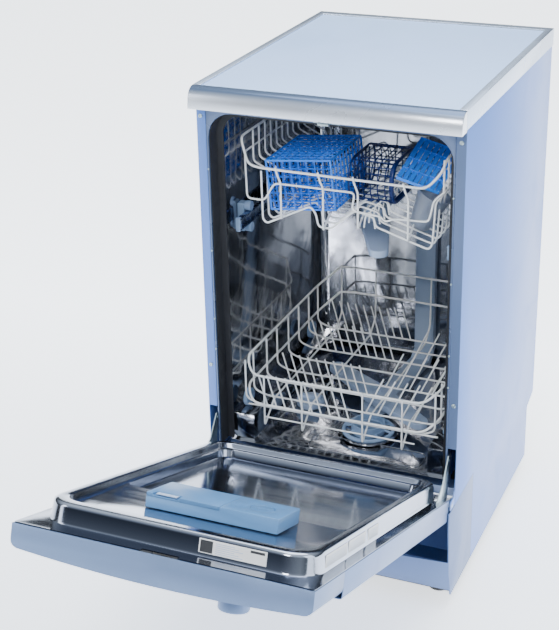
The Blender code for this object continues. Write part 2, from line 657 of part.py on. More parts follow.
def pumps():
    bm = bmesh.new()
    y, z = 0.285, 0.118
    turned(bm, "X", (y, z), ((0.022, -0.033), (0.034, -0.031), (0.034, -0.010), (0.038, -0.008), (0.038, 0.075),
                             (0.020, 0.078), (0.020, 0.092)), 20)
    pump = make("wash_pump", bm, BLACK_PLASTIC, smooth=40)
    snout = bmesh.new()
    turned(snout, "Y", (SUMP_X, 0.140), ((0.013, SUMP_Y + SUMP_RADIUS + GAP), (0.013, y - 0.02)), 16)
    join(pump, snout)
    bm = bmesh.new()
    turned(bm, "Y", DRAIN_PLACE, ((0.010, 0.375), (0.024, 0.377), (0.024, 0.435), (DRAIN_RADIUS, 0.437),
                                  (DRAIN_RADIUS, LOWER_REAR + 0.022)), 18)
    make("drain_pump", bm, BLACK_PLASTIC, smooth=40)


def water_softener():
    bm = bmesh.new()
    box(bm, (SALT_X - 0.075, SALT_X + 0.075), (SALT_Y - 0.055, SALT_Y + 0.100), (0.065, 0.200))
    body = make("water_softener", bm, GREY_BLUE)
    neck = bmesh.new()
    turned(neck, "Z", (SALT_X, SALT_Y), ((0.024, 0.19), (0.024, TUB_FLOOR + GAP)), 24)
    join(body, neck)
    throat = bmesh.new()
    box(throat, (SALT_X - 0.072, SALT_X + 0.072), (SALT_Y - 0.052, SALT_Y + 0.097), (0.068, 0.197))
    turned(throat, "Z", (SALT_X, SALT_Y), ((0.0195, 0.195), (0.0195, 0.24)), 24)
    cut(body, throat, overlapping=True)


def salt_cap():
    bm = bmesh.new()
    low = TUB_FLOOR + 2 * GAP
    turned(bm, "Z", (SALT_X, SALT_Y), ((0.018, low - 0.012), (0.018, low), (SALT_RADIUS, low + 0.0002),
                                       (SALT_RADIUS, low + 0.009), (SALT_RADIUS - 0.003, low + 0.012)), 24)
    cap = make("salt_cap", bm, GREY_BLUE, origin=(SALT_X, SALT_Y, low), smooth=35)
    grip = bmesh.new()
    box(grip, (SALT_X - 0.020, SALT_X + 0.020), (SALT_Y - 0.004, SALT_Y + 0.004), (low + 0.010, low + 0.018))
    join(cap, grip)


def rear_fittings():
    bm = bmesh.new()
    rear = LOWER_REAR + GAP
    turned(bm, "Y", (-0.165, 0.085), ((0.021, rear), (0.021, rear + 0.006), (0.013, rear + 0.007),
                                      (0.013, rear + 0.030)), 20)
    valve = make("inlet_valve", bm, PALE_PLASTIC, smooth=40)
    bore = bmesh.new()
    turned(bore, "Y", (-0.165, 0.085), ((0.009, rear + 0.012), (0.009, rear + 0.05)), 20)
    cut(valve, bore)
    bm = bmesh.new()
    turned(bm, "Y", (0.165, 0.085), ((0.014, rear), (0.014, rear + 0.005), (0.0095, rear + 0.006),
                                     (0.0080, rear + 0.018)), 18)
    gland = make("cord_gland", bm, BLACK_PLASTIC, smooth=40)
    bore = bmesh.new()
    turned(bore, "Y", (0.165, 0.085), ((0.0042, rear - 0.01), (0.0042, rear + 0.03)), 16)
    cut(gland, bore)


DUCT_X = 0.022
DUCT_REAR = TUB_REAR - SHEET - GAP


def feed_duct():
    """From the pump's outlet up the rear wall to the upper arm, with a run along the floor to the lower arm."""
    low = TUB_FLOOR + GAP
    bm = bmesh.new()
    half = DUCT_WIDTH / 2
    turn = TUB_REAR_TURN + SHEET
    prism(bm, [(DUCT_REAR - turn - 0.004, low), (DUCT_REAR, low + turn), (DUCT_REAR, UPPER_ARM_TOP + 0.030),
               (DUCT_REAR - DUCT_DEPTH, UPPER_ARM_TOP + 0.030), (DUCT_REAR - DUCT_DEPTH, low + turn),
               (DUCT_REAR - turn - DUCT_DEPTH, low + 0.0115), (DUCT_REAR - turn - DUCT_DEPTH, low)],
          "X", DUCT_X - half, DUCT_X + half)
    duct = make("feed_duct", bm, GREY_BLUE)
    run = bmesh.new()
    prism(run, [(DUCT_X - half, DUCT_REAR - turn - 0.010), (DUCT_X + half, DUCT_REAR - turn - 0.010),
                (LOWER_ARM_X + 0.018, LOWER_ARM_Y), (LOWER_ARM_X - 0.018, LOWER_ARM_Y)], "Z", low, low + 0.0110)
    turned(run, "Z", (LOWER_ARM_X, LOWER_ARM_Y), ((0.024, low), (0.024, low + 0.0125), (0.016, low + 0.0150),
                                                  (0.016, LOWER_ARM_Z - 2 * GAP)), 20)
    turned(run, "Z", (LOWER_ARM_X, LOWER_ARM_Y), ((SPINDLE_RADIUS, low + 0.002),
                                                  (SPINDLE_RADIUS, LOWER_ARM_Z + ARM_THICKNESS - 0.001)), 16)
    mouth = UPPER_ARM_TOP + 0.016
    turned(run, "Y", (DUCT_X, mouth), ((0.011, DUCT_REAR - DUCT_DEPTH - 0.006), (0.011, DUCT_REAR - 0.004)), 16)
    join(duct, run, overlapping=True)
    return duct


def spray_arm(name, centre, low, reach, angle):
    """A hollow-looking blade with round ends on a spindle: wide hub, tapering to both tips."""
    x, y = centre
    outline = []
    tip = ARM_WIDTH / 2 - 0.004
    hub = ARM_WIDTH / 2 + 0.006
    for side in (0, 1):
        base = angle + pi * side
        for i in range(7):
            a = base - 0.5 * pi + pi * i / 6
            outline.append((x + (reach - tip) * cos(base) + tip * cos(a),
                            y + (reach - tip) * sin(base) + tip * sin(a)))
        outline.append((x + hub * cos(base + 0.5 * pi), y + hub * sin(base + 0.5 * pi)))
    bm = bmesh.new()
    prism(bm, outline, "Z", low, low + ARM_THICKNESS)
    arm = make(name, bm, GREY_BLUE, origin=(x, y, low), smooth=35)
    bore = bmesh.new()
    turned(bore, "Z", centre, ((SPINDLE_RADIUS + 0.0004, low - 0.01), (SPINDLE_RADIUS + 0.0004, low + 0.03)), 16)
    cut(arm, bore)


def upper_manifold():
    """Pipe under the upper basket from its rear mouth to the upper arm's spindle."""
    bm = bmesh.new()
    low = UPPER_ARM_TOP + GAP
    mouth = UPPER_ARM_TOP + 0.016
    rear = DUCT_REAR - DUCT_DEPTH - 0.006 - 2 * GAP
    box(bm, (-0.012, 0.012), (UPPER_ARM_Y - 0.01, rear - 0.03), (low + 0.006, low + 0.026))
    pipe = make("upper_manifold", bm, GREY_BLUE)
    rest = bmesh.new()
    box(rest, (-0.012, DUCT_X + 0.012), (rear - 0.045, rear - 0.02), (low + 0.006, low + 0.026))
    turned(rest, "Y", (DUCT_X, mouth), ((0.010, rear - 0.025), (0.012, rear)), 16)
    turned(rest, "Z", (0, UPPER_ARM_Y), ((SPINDLE_RADIUS, low - ARM_THICKNESS - 0.0003), (SPINDLE_RADIUS, low + 0.02)), 16)
    turned(rest, "Z", (0, UPPER_ARM_Y), ((0.022, low), (0.022, low + 0.022)), 20)
    join(pipe, rest, overlapping=True)


# ---------------------------------------------------------------- baskets
def spread(low, high, count):
    return [low + (high - low) * i / (count - 1) for i in range(count)]


def lower_basket():
    half, front, rear = BASKET_HALF - WIRE / 2, BASKET_FRONT, BASKET_REAR
    floor = LOWER_BASKET_FLOOR
    slope = (LOWER_RIM_REAR - LOWER_RIM_FRONT) / (rear - front)

    def rim(y):
        return LOWER_RIM_FRONT + slope * (y - front)

    across, along, upright, tines = [], [], [], []
    for x in (-half, half):
        along.append(((x, front, rim(front)), (x, rear, rim(rear))))
        along.append(((x, front, floor), (x, rear, floor)))
        for y in spread(front, rear, 5):
            upright.append(((x, y, floor), (x, y, rim(y))))
    for y in (front, rear):
        across.append(((-half, y, rim(y)), (half, y, rim(y))))
    for y in spread(front, rear, 6):
        across.append(((-half, y, floor), (half, y, floor)))
    for x in spread(-half, half, 5)[1:-1]:
        along.append(((x, front, floor), (x, rear, floor)))
        upright.append(((x, front, rim(front)), (x, front, LOWER_FEET + 0.003)))
        upright.append(((x, rear, rim(rear)), (x, rear, floor)))
        tines.append(((x, front, LOWER_FEET + 0.002), (x, front + 0.035, floor)))
    for x in (-half / 2, half / 2):
        for y in spread(front + 0.07, rear - 0.05, 5):
            tines.append(((x, y, floor), (x, y, floor + 0.055)))
    return wire_frame("lower_basket", across, along, upright, tines, (0, front, floor))


def upper_basket():
    half, front, rear = BASKET_HALF - WIRE / 2, BASKET_FRONT, BASKET_REAR
    floor, rim, side = UPPER_FLOOR, UPPER_RIM, UPPER_RIM + UPPER_SIDE_RISE
    corner = 0.055
    across, along, upright, slanted = [((-half + corner, front, rim), (half - corner, front, rim))], [], [], []
    for s in (-1, 1):
        slanted.append(((s * (half - corner), front, rim), (s * half, front + 0.012, side)))
        along.append(((s * half, front + 0.012, side), (s * half, rear, side)))
        along.append(((s * half, front, floor), (s * half, rear, floor)))
        for y in spread(front + 0.012, rear, 5):
            upright.append(((s * half, y, floor), (s * half, y, side)))
    across.append(((-half, rear, side), (half, rear, side)))
    across.append(((-half, front, floor + 0.035), (half, front, floor + 0.035)))
    for y in spread(front, rear, 6):
        across.append(((-half, y, floor), (half, y, floor)))
    for x in spread(-half, half, 6)[1:-1]:
        along.append(((x, front, floor), (x, rear, floor)))
        upright.append(((x, front, rim), (x, front, floor)))
        upright.append(((x, rear, side), (x, rear, floor)))
    return wire_frame("upper_basket", across, along, upright, slanted, (0, front, floor))


def basket_wheels():
    x_out = RAIL_OUT
    for side, label in ((-1, "left"), (1, "right")):
        for y, place in ((BASKET_FRONT + 0.035, "front"), (BASKET_REAR - 0.050, "rear")):
            bm = bmesh.new()
            z = LEDGE_TOP + GAP + WHEEL_RADIUS
            inner = side * (BASKET_HALF + RUNNING)
            turned(bm, "X", (y, z), ((0.004, inner), (0.004, side * (x_out - WHEEL_WIDTH)),
                                     (WHEEL_RADIUS, side * (x_out - WHEEL_WIDTH + 0.0002)),
                                     (WHEEL_RADIUS, side * x_out)), 16)
            make(f"wheel_{place}_{label}", bm, PALE_PLASTIC, origin=(inner, y, z), smooth=35)


def rails_and_rollers():
    for side, label in ((-1, "left"), (1, "right")):
        bm = bmesh.new()
        web = 0.0020
        web_x = sorted((side * RAIL_OUT, side * (RAIL_OUT - web)))
        lip_x = sorted((side * RAIL_IN, side * (RAIL_OUT - web / 2)))
        ends = (BASKET_FRONT + 0.012, TUB_REAR - 0.018)
        box(bm, web_x, ends, (RAIL_LOW, RAIL_HIGH))
        rail = make(f"rail_{label}", bm, STEEL)
        lips = bmesh.new()
        box(lips, lip_x, ends, (RAIL_LOW, RAIL_LOW + web))
        box(lips, lip_x, ends, (RAIL_HIGH - web, RAIL_HIGH))
        join(rail, lips, overlapping=True)
        for z, place in ((RAIL_HIGH + ROLLER_RADIUS + GAP, "top"), (RAIL_LOW - ROLLER_RADIUS - GAP, "bottom")):
            bm = bmesh.new()
            y = BASKET_FRONT + ROLLER_SETBACK
            turned(bm, "X", (y, z), ((ROLLER_RADIUS, side * RAIL_IN), (ROLLER_RADIUS, side * (RAIL_OUT + 0.001)),
                                     (0.004, side * (RAIL_OUT + 0.0012)), (0.004, side * (TUB_IN - GAP))), 14)
            make(f"roller_{place}_{label}", bm, PALE_PLASTIC, origin=(side * RAIL_IN, y, z), smooth=35)


CUTLERY_X = (-0.128, -0.014)
CUTLERY_Y = (0.062, 0.205)
CUTLERY_FLOOR = 0.020       # underside above the upper basket's floor wires
CUTLERY_HEIGHT = 0.085
SMALL_X = (-0.008, 0.070)
SMALL_Y = (0.110, 0.245)
SMALL_HEIGHT = 0.078


def open_box(name, x, y, z, wall, mat, way, radius=0.004):
    """A tray-like box with rounded edges along one way ("X" or "Y"), open at its far end that way."""
    long_way, short_way = (x, y) if way == "X" else (y, x)

    def outline(inset, corner):
        return rounded_rectangle((short_way[0] + inset, short_way[1] - inset),
                                 (z[0] + inset, z[1] - inset), (corner,) * 4, 3)

    bm = bmesh.new()
    prism(bm, outline(0, radius), way, *long_way)
    body = make(name, bm, mat, origin=(x[0], y[0], z[0]), smooth=35)
    hollow = bmesh.new()
    prism(hollow, outline(wall, max(radius - wall, 0.001)), way, long_way[0] + wall, long_way[1] + 0.02)
    cut(body, hollow)
    return body


def loose_baskets():
    base = UPPER_FLOOR + WIRE / 2 + CUTLERY_FLOOR
    open_box("cutlery_basket", CUTLERY_X, CUTLERY_Y, (base, base + CUTLERY_HEIGHT), 0.0025, BRIGHT_BLUE, "Y")
    open_box("small_cutlery_basket", SMALL_X, SMALL_Y, (base, base + SMALL_HEIGHT), 0.0022, DEEP_BLUE, "X", 0.030)
    bm = bmesh.new()
    lean, roll = radians(22), radians(14)
    centre = Vector((0.127, 0.125, UPPER_RIM + 0.006))
    turn = Matrix.Rotation(roll, 4, "Y") @ Matrix.Rotation(lean, 4, "X")
    size = Matrix.Diagonal((0.074, 0.105, 0.008, 1))
    bmesh.ops.create_cube(bm, size=1, matrix=Matrix.Translation(centre) @ turn @ size)
    make("cutlery_grid", bm, BRIGHT_BLUE, origin=centre)

    lean = Matrix.Rotation(radians(24), 4, "Y")
    centre = Vector((0.122, 0.092, UPPER_FLOOR + 0.010))
    lift = Matrix.Translation(centre) @ lean
    origin = tuple(centre)
    bm = bmesh.new()
    turned(bm, "Z", (0, 0), ((0.017, 0), (0.022, 0.030), (0.029, 0.062)), 20)
    bmesh.ops.transform(bm, matrix=lift, verts=bm.verts)
    cup = make("salt_funnel", bm, CLEAR_PLASTIC, origin=origin, smooth=35)
    bm = bmesh.new()
    turned(bm, "Z", (0, 0), ((0.0155, 0.0018), (0.0204, 0.030), (0.0290, 0.075)), 20)
    bmesh.ops.transform(bm, matrix=lift, verts=bm.verts)
    cut(cup, bm)


# ---------------------------------------------------------------- door
def door_outer_panel():
    """Painted sheet folded into a shallow tray: front, two sides and a bottom."""
    bm = bmesh.new()
    back = LINER_BACK - GAP
    high = FASCIA_BOTTOM - GAP
    prism(bm, rounded_rectangle((-DOOR_HALF, DOOR_HALF), (DOOR_FRONT, back), (0.004, 0.004, 0.0005, 0.0005), 2),
          "Z", DOOR_BOTTOM, high)
    panel = make("door_outer_panel", bm, SILVER, DOOR_AXIS, (0, HINGE_Y, HINGE_Z), smooth=35)
    hollow = bmesh.new()
    box(hollow, (-DOOR_HALF + SHEET, DOOR_HALF - SHEET), (DOOR_FRONT + SHEET, back + 0.02),
        (DOOR_BOTTOM + SHEET, high + 0.02))
    cut(panel, hollow)
    notch = bmesh.new()
    mirrored_boxes(notch, (DOOR_CORE, DOOR_HALF + 0.01), (DOOR_FRONT - 0.01, back + 0.03),
                   (DOOR_BOTTOM - 0.01, HINGE_Z + 0.012))
    cut(panel, notch)


def pan_ring(half, low, high, radius, y):
    corner = min(radius, half, (high - low) / 2)
    outline = rounded_rectangle((-half, half), (low, high), (min(corner, 0.030),) * 2 + (corner,) * 2, 5)
    return [at("Y", u, v, y) for u, v in outline]


def door_inner_liner():
    """Steel sheet with a raised pan: flange, rim, a shallow shelf for the dispenser and a deeper pocket."""
    half, low, high = PAN_HALF, PAN_BOTTOM, PAN_TOP
    d = PAN_DRAFT
    edge = 0.003
    rim_y = PAN_RIM_Y
    in_half = half - d - PAN_RIM
    in_low, in_high = low + HINGE_RIM, high - PAN_RIM - 0.008
    pocket_high = in_high - PLATEAU_LENGTH
    rings = [pan_ring(DOOR_HALF - SHEET, HINGE_Z - 0.019, DOOR_TOP - 0.003, 0.001, DOOR_SKIN_Y),
             pan_ring(half, low, high, PAN_RADIUS, DOOR_SKIN_Y),
             pan_ring(half - d, low + d, high - d, PAN_RADIUS - d, rim_y - edge),
             pan_ring(half - d - edge, low + d + edge, high - d - edge, PAN_RADIUS - d - edge, rim_y),
             pan_ring(in_half, in_low, in_high, PAN_RADIUS - PAN_RIM, rim_y),
             pan_ring(in_half - 0.003, in_low + 0.003, in_high - 0.003, PAN_RADIUS - PAN_RIM - 0.003, PLATEAU_Y),
             pan_ring(in_half - 0.004, in_low + 0.004, pocket_high, 0.026, PLATEAU_Y),
             pan_ring(in_half - 0.008, in_low + 0.008, pocket_high - 0.005, 0.022, POCKET_Y)]
    bm = bmesh.new()
    loops = [[bm.verts.new(p) for p in ring] for ring in rings]
    count = len(loops[0])
    for outer, inner in zip(loops, loops[1:]):
        for i in range(count):
            j = (i + 1) % count
            bm.faces.new((outer[i], outer[j], inner[j], inner[i]))
    bm.faces.new(loops[-1])
    bmesh.ops.recalc_face_normals(bm, faces=bm.faces)
    floor = bm.faces[-1] if bm.faces[-1].is_valid else None
    if floor and floor.normal.y < 0:
        bmesh.ops.reverse_faces(bm, faces=bm.faces)
    bmesh.ops.translate(bm, verts=bm.verts, vec=-Vector((0, HINGE_Y, HINGE_Z)))
    mesh = bpy.data.meshes.new("door_inner_liner")
    bm.to_mesh(mesh)
    bm.free()
    mesh.materials.append(STEEL)
    liner = bpy.data.objects.new("door_inner_liner", mesh)
    liner.parent = DOOR_AXIS
    bpy.context.collection.objects.link(liner)
    skin = liner.modifiers.new("sheet", "SOLIDIFY")
    skin.thickness = SHEET
    skin.offset = -1
    skin.use_even_offset = True
    slots = bmesh.new()
    mirrored_boxes(slots, (DOOR_CORE + 0.001, DOOR_HALF + 0.01), (LINER_BACK - 0.02, DOOR_SKIN_Y + 0.004),
                   (HINGE_Z - 0.03, HINGE_Z + 0.055))
    box(slots, (-0.014, 0.014), (LINER_BACK - 0.01, DOOR_SKIN_Y + 0.01), (FRAME_TOP - 0.0015, DOOR_TOP + 0.01))
    cut(liner, slots)


def fascia_front(x, inset=0.0):
    """Y of the control panel's bowed front at x."""
    reach = DOOR_HALF
    return FASCIA_CORNER_Y - FASCIA_BULGE * (1 - (x / reach) ** 2) + inset


def fascia_outline(inset, back):
    corner = 0.010
    half = DOOR_HALF - inset
    points = [(half, back), (half, FASCIA_CORNER_Y + corner)]
    steps = 12
    for i in range(1, 4):
        a = 0.5 * pi * i / 4
        points.append((half - corner + corner * cos(a), FASCIA_CORNER_Y + corner - corner * sin(a) + inset))
    for i in range(steps + 1):
        x = (half - corner) * (1 - 2 * i / steps)
        points.append((x, fascia_front(x, inset)))
    for i in range(3, 0, -1):
        a = 0.5 * pi * i / 4
        points.append((-half + corner - corner * cos(a), FASCIA_CORNER_Y + corner - corner * sin(a) + inset))
    points += [(-half, FASCIA_CORNER_Y + corner), (-half, back)]
    return points


def fascia_middle():
    return (FASCIA_BOTTOM + DOOR_TOP) / 2 - 0.002


def control_panel():
    back = LINER_BACK - GAP
    bm = bmesh.new()
    prism(bm, fascia_outline(0, back), "Z", FASCIA_BOTTOM, DOOR_TOP)
    panel = make("control_panel", bm, SILVER, DOOR_AXIS, (0, HINGE_Y, DOOR_TOP), smooth=30)
    hollow = bmesh.new()
    prism(hollow, fascia_outline(FASCIA_WALL, back + 0.02), "Z", FASCIA_BOTTOM - 0.01, DOOR_TOP - FASCIA_WALL)
    cut(panel, hollow)
    holes = bmesh.new()
    z = fascia_middle()
    turned(holes, "Y", (KNOB_X, z), ((0.0048, DOOR_FRONT - 0.02), (0.0048, -0.03)), 16)
    for x in BUTTON_XS:
        turned(holes, "Y", (x, z), ((BUTTON_RADIUS + 0.0005, DOOR_FRONT - 0.02), (BUTTON_RADIUS + 0.0005, -0.03)), 18)
    cut(panel, holes)


BUTTON_XS = (-0.165, -0.125)


def knob_and_buttons():
    z = fascia_middle()
    face = fascia_front(KNOB_X)
    bm = bmesh.new()
    turned(bm, "Y", (KNOB_X, z), ((KNOB_RADIUS - 0.002, face - KNOB_DEPTH), (KNOB_RADIUS - 0.0005, face - KNOB_DEPTH + 0.002),
                                  (KNOB_RADIUS, face - 0.002), (0.0044, face - 0.0018), (0.0044, -0.028)), 28)
    knob = make("program_knob", bm, SILVER, DOOR_AXIS, (KNOB_X, face - KNOB_DEPTH, z), smooth=35)
    mark = bmesh.new()
    box(mark, (KNOB_X - 0.0012, KNOB_X + 0.0012), (face - KNOB_DEPTH - 0.01, face - KNOB_DEPTH + 0.0012),
        (z + 0.006, z + 0.018))
    cut(knob, mark)
    for x, name in zip(BUTTON_XS, ("power_button", "start_button")):
        face = fascia_front(x)
        bm = bmesh.new()
        turned(bm, "Y", (x, z), ((BUTTON_RADIUS - 0.001, face - BUTTON_TRAVEL - 0.001),
                                 (BUTTON_RADIUS, face - BUTTON_TRAVEL), (BUTTON_RADIUS, face + FASCIA_WALL + 0.005)), 18)
        make(name, bm, PALE_PLASTIC, DOOR_AXIS, (x, face, z), smooth=35)


def dispenser():
    left, right = DISPENSER_X - DISPENSER_LENGTH / 2, DISPENSER_X + DISPENSER_LENGTH / 2
    low, high = DISPENSER_LOW_Z, DISPENSER_TOP_Z
    base = PLATEAU_Y + GAP
    top = base + DISPENSER_HEIGHT - LID_THICKNESS - GAP
    bm = bmesh.new()
    box(bm, (left, right), (base, top), (low, high))
    body = make("dispenser_body", bm, PALE_PLASTIC, DOOR_AXIS, (DISPENSER_X, base, low))
    block = bmesh.new()
    box(block, (DISPENSER_X + 0.012, right), (top - 0.001, top + LID_THICKNESS), (low, high))
    join(body, block)
    cup = bmesh.new()
    box(cup, (left + 0.014, left + 0.094), (base + 0.003, top + 0.01), (low + 0.016, high - 0.016))
    cut(body, cup)
    cap_x, cap_z = right - 0.040, (low + high) / 2
    cap_hole = bmesh.new()
    turned(cap_hole, "Y", (cap_x, cap_z), ((0.0125, base + 0.003), (0.0125, top), (0.0180, top + 0.00001),
                                           (0.0180, top + 0.03)), 20)
    cut(body, cap_hole)

    bm = bmesh.new()
    lid_low = low + 0.0005
    box(bm, (left, DISPENSER_X + 0.012 - RUNNING), (top + GAP, top + GAP + LID_THICKNESS), (lid_low, high))
    lid = make("dispenser_lid", bm, PALE_PLASTIC, DOOR_AXIS, (left, top + GAP + LID_THICKNESS, lid_low))
    catch = bmesh.new()
    box(catch, (left + 0.010, left + 0.050), (top + GAP + 0.002, top + 0.03), (high - 0.012, high + 0.01))
    cut(lid, catch)

    bm = bmesh.new()
    turned(bm, "Y", (cap_x, cap_z), ((0.0120, base + 0.004), (0.0120, top + GAP), (0.0175, top + GAP + 0.0002),
                                     (0.0170, top + LID_THICKNESS - 0.0005)), 20)
    cap = make("rinse_aid_cap", bm, PALE_PLASTIC, DOOR_AXIS, (cap_x, top, cap_z), smooth=35)
    slot = bmesh.new()
    box(slot, (cap_x - 0.012, cap_x + 0.012), (top + 0.003, top + 0.03), (cap_z - 0.0015, cap_z + 0.0015))
    cut(cap, slot)


def door_latch():
    bm = bmesh.new()
    high = DOOR_TOP - FASCIA_WALL - GAP
    low = FRAME_TOP - 0.022
    box(bm, (-0.030, 0.030), (-0.030, LINER_BACK - GAP), (low, high))
    latch = make("door_latch", bm, BLACK_PLASTIC, DOOR_AXIS, (0, -0.018, low))
    pocket = bmesh.new()
    box(pocket, (-0.012, 0.012), (-0.021, 0.01), (FRAME_TOP - 0.0015, high + 0.01))
    cut(latch, pocket)


def hinge_arms():
    """Plates fixed inside the door's lower corners; their tails reach into the cabinet when it is closed."""
    x_low = DOOR_CORE + 0.0025
    for side, label in ((-1, "left"), (1, "right")):
        x = sorted((side * x_low, side * (x_low + 0.002)))
        y, z = HINGE_Y, HINGE_Z
        outline = [(y - 0.010, z - 0.008), (y + 0.004, z - 0.010), (y + 0.045, z + 0.003), (y + 0.084, z + 0.006),
                   (y + 0.084, z + 0.016), (y + 0.040, z + 0.030), (y + 0.014, z + 0.052), (y - 0.010, z + 0.056),
                   (y - 0.016, z + 0.030), (y - 0.014, z)]
        bm = bmesh.new()
        prism(bm, outline, "X", *x)
        arm = make(f"hinge_arm_{label}", bm, ZINC, DOOR_AXIS, (side * x_low, y, z))
        bore = bmesh.new()
        turned(bore, "X", (y, z), ((ARM_HOLE_RADIUS, x[0] - 0.01), (ARM_HOLE_RADIUS, x[1] + 0.01)), 24)
        turned(bore, "X", (y + 0.076, z + 0.011), ((0.002, x[0] - 0.01), (0.002, x[1] + 0.01)), 12)
        cut(arm, bore)


def hinge_rod():
    bm = bmesh.new()
    end = SIDE_OUT - SHEET / 2
    turned(bm, "X", (HINGE_Y, HINGE_Z), ((ROD_RADIUS, -end), (ROD_RADIUS, end)), 24)
    make("hinge_rod", bm, ZINC, origin=(0, HINGE_Y, HINGE_Z), smooth=35)


def door_springs():
    x = TUB_IN
    for side, label in ((-1, "left"), (1, "right")):
        bm = bmesh.new()
        profile = []
        start, coils, pitch = 0.330, 12, 0.007
        for i in range(coils):
            y = start + pitch * i
            profile += [(0.0062, y), (0.0074, y + 0.25 * pitch), (0.0074, y + 0.75 * pitch)]
        profile.append((0.0062, start + pitch * coils))
        turned(bm, "Y", (side * x, 0.150), profile, 10)
        make(f"door_spring_{label}", bm, ZINC, smooth=40)


# ---------------------------------------------------------------- the whole machine
worktop()
side_panel("left_side_panel", -1)
side_panel("right_side_panel", 1)
rear_panel()
plinth()
base_tray()
for foot_name, foot_x, foot_y in (("foot_front_left", -FOOT_X, FOOT_FRONT_Y),
                                  ("foot_front_right", FOOT_X, FOOT_FRONT_Y),
                                  ("foot_rear_left", -FOOT_X, FOOT_REAR_Y),
                                  ("foot_rear_right", FOOT_X, FOOT_REAR_Y)):
    foot(foot_name, foot_x, foot_y)
tub()
tub_front_frame()
door_gasket()
door_strike()
sump()
filter_plate()
filter_cylinder()
pumps()
water_softener()
salt_cap()
rear_fittings()
feed_duct()
spray_arm("lower_spray_arm", (LOWER_ARM_X, LOWER_ARM_Y), LOWER_ARM_Z, LOWER_ARM_REACH, LOWER_ARM_ANGLE)
spray_arm("upper_spray_arm", (0, UPPER_ARM_Y), UPPER_ARM_TOP - ARM_THICKNESS, UPPER_ARM_REACH, UPPER_ARM_ANGLE)
upper_manifold()
lower_basket()
upper_basket()
basket_wheels()
rails_and_rollers()
loose_baskets()
door_outer_panel()
door_inner_liner()
control_panel()
knob_and_buttons()
dispenser()
door_latch()
hinge_arms()
hinge_rod()
door_springs()
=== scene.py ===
# %% [markdown]
# # A slimline dishwasher, from its frame to its finishes
# The imported model already knows where every piece sits and how it moves. This notebook loads it,
# gives each piece the finish of the real material, with painted shade, highlights and reflection on some,
# and models the pieces that a plain solid cannot show: round wires, lattices, labels, screws and folded
# sheet. Every piece rides on the body it belongs to.

# %% Load the imported model
from math import cos, pi, radians, sin

import bmesh
import bpy
from mathutils import Matrix, Vector


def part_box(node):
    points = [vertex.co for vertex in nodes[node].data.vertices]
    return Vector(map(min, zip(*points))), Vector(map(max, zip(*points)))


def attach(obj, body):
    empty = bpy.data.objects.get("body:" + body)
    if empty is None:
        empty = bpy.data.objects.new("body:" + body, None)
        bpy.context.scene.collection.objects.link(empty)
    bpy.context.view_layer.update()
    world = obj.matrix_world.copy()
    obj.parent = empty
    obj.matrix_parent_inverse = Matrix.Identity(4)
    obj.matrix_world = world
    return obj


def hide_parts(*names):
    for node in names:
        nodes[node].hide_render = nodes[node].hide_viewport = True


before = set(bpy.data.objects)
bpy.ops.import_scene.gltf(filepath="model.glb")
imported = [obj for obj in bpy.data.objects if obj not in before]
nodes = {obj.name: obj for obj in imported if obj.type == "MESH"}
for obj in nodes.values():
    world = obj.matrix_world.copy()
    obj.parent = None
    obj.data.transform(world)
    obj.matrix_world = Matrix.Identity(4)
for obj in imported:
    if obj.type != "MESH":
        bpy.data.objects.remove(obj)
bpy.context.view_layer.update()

# %% [markdown]
# ## Places
# Makers draw a machine from its own planes, so two are used here: the front plane of the cabinet's
# pillars, and the floor. `place` takes a distance behind that plane and returns a point in the model.
# Pieces on the door are drawn as if it were shut, because then its faces are square to the axes,
# and `swing` turns the finished mesh with the door about its hinge.

# %% Planes, hinge and helpers for places
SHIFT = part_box("tub_front_frame")[0][1] - 0.0005
HINGE = Vector((0, -0.014 + SHIFT, 0.2025))
OPEN = radians(70.5)
SWING = Matrix.Translation(HINGE) @ Matrix.Rotation(OPEN, 4, "X") @ Matrix.Translation(-HINGE)


def place(x, y, z):
    return Vector((x, y + SHIFT, z))


def swing(piece):
    piece.data.transform(SWING)
    return piece


print("cabinet front plane at", round(SHIFT, 4), "hinge at", [round(v, 4) for v in HINGE])

# %% [markdown]
# ## Camera, floor and light
# The view is a long lens from the right, a little above the worktop, so the upright edges almost
# stay parallel. The floor is plain and pale, and it glows brighter towards the back, painted light that
# also lights the machine from below and behind. Large soft lamps stand in for a studio's light tent:
# polished steel shows what is round it, so the tent matters more than the lamps' strength.

# %% Camera
yaw, pitch, roll = -0.4024, -0.4100, -0.0186
forward = Vector((sin(yaw) * cos(pitch), cos(yaw) * cos(pitch), sin(pitch)))
level = forward.cross(Vector((0, 0, 1))).normalized()
upward = level.cross(forward)
across = level * cos(roll) + upward * sin(roll)
above = upward * cos(roll) - level * sin(roll)
bpy.ops.object.camera_add(location=place(0.7733, -1.9708, 1.4658))
camera = bpy.context.object
camera.name = "studio_camera"
camera.matrix_world = Matrix.Translation(camera.location) @ Matrix((across, above,
                                                                    -forward)).transposed().to_4x4()
camera.data.lens = 82.09
camera.data.sensor_width = 36
camera.data.shift_x = -0.0172
camera.data.shift_y = -0.0358
bpy.context.scene.camera = camera
print("camera at", [round(v, 3) for v in camera.location])

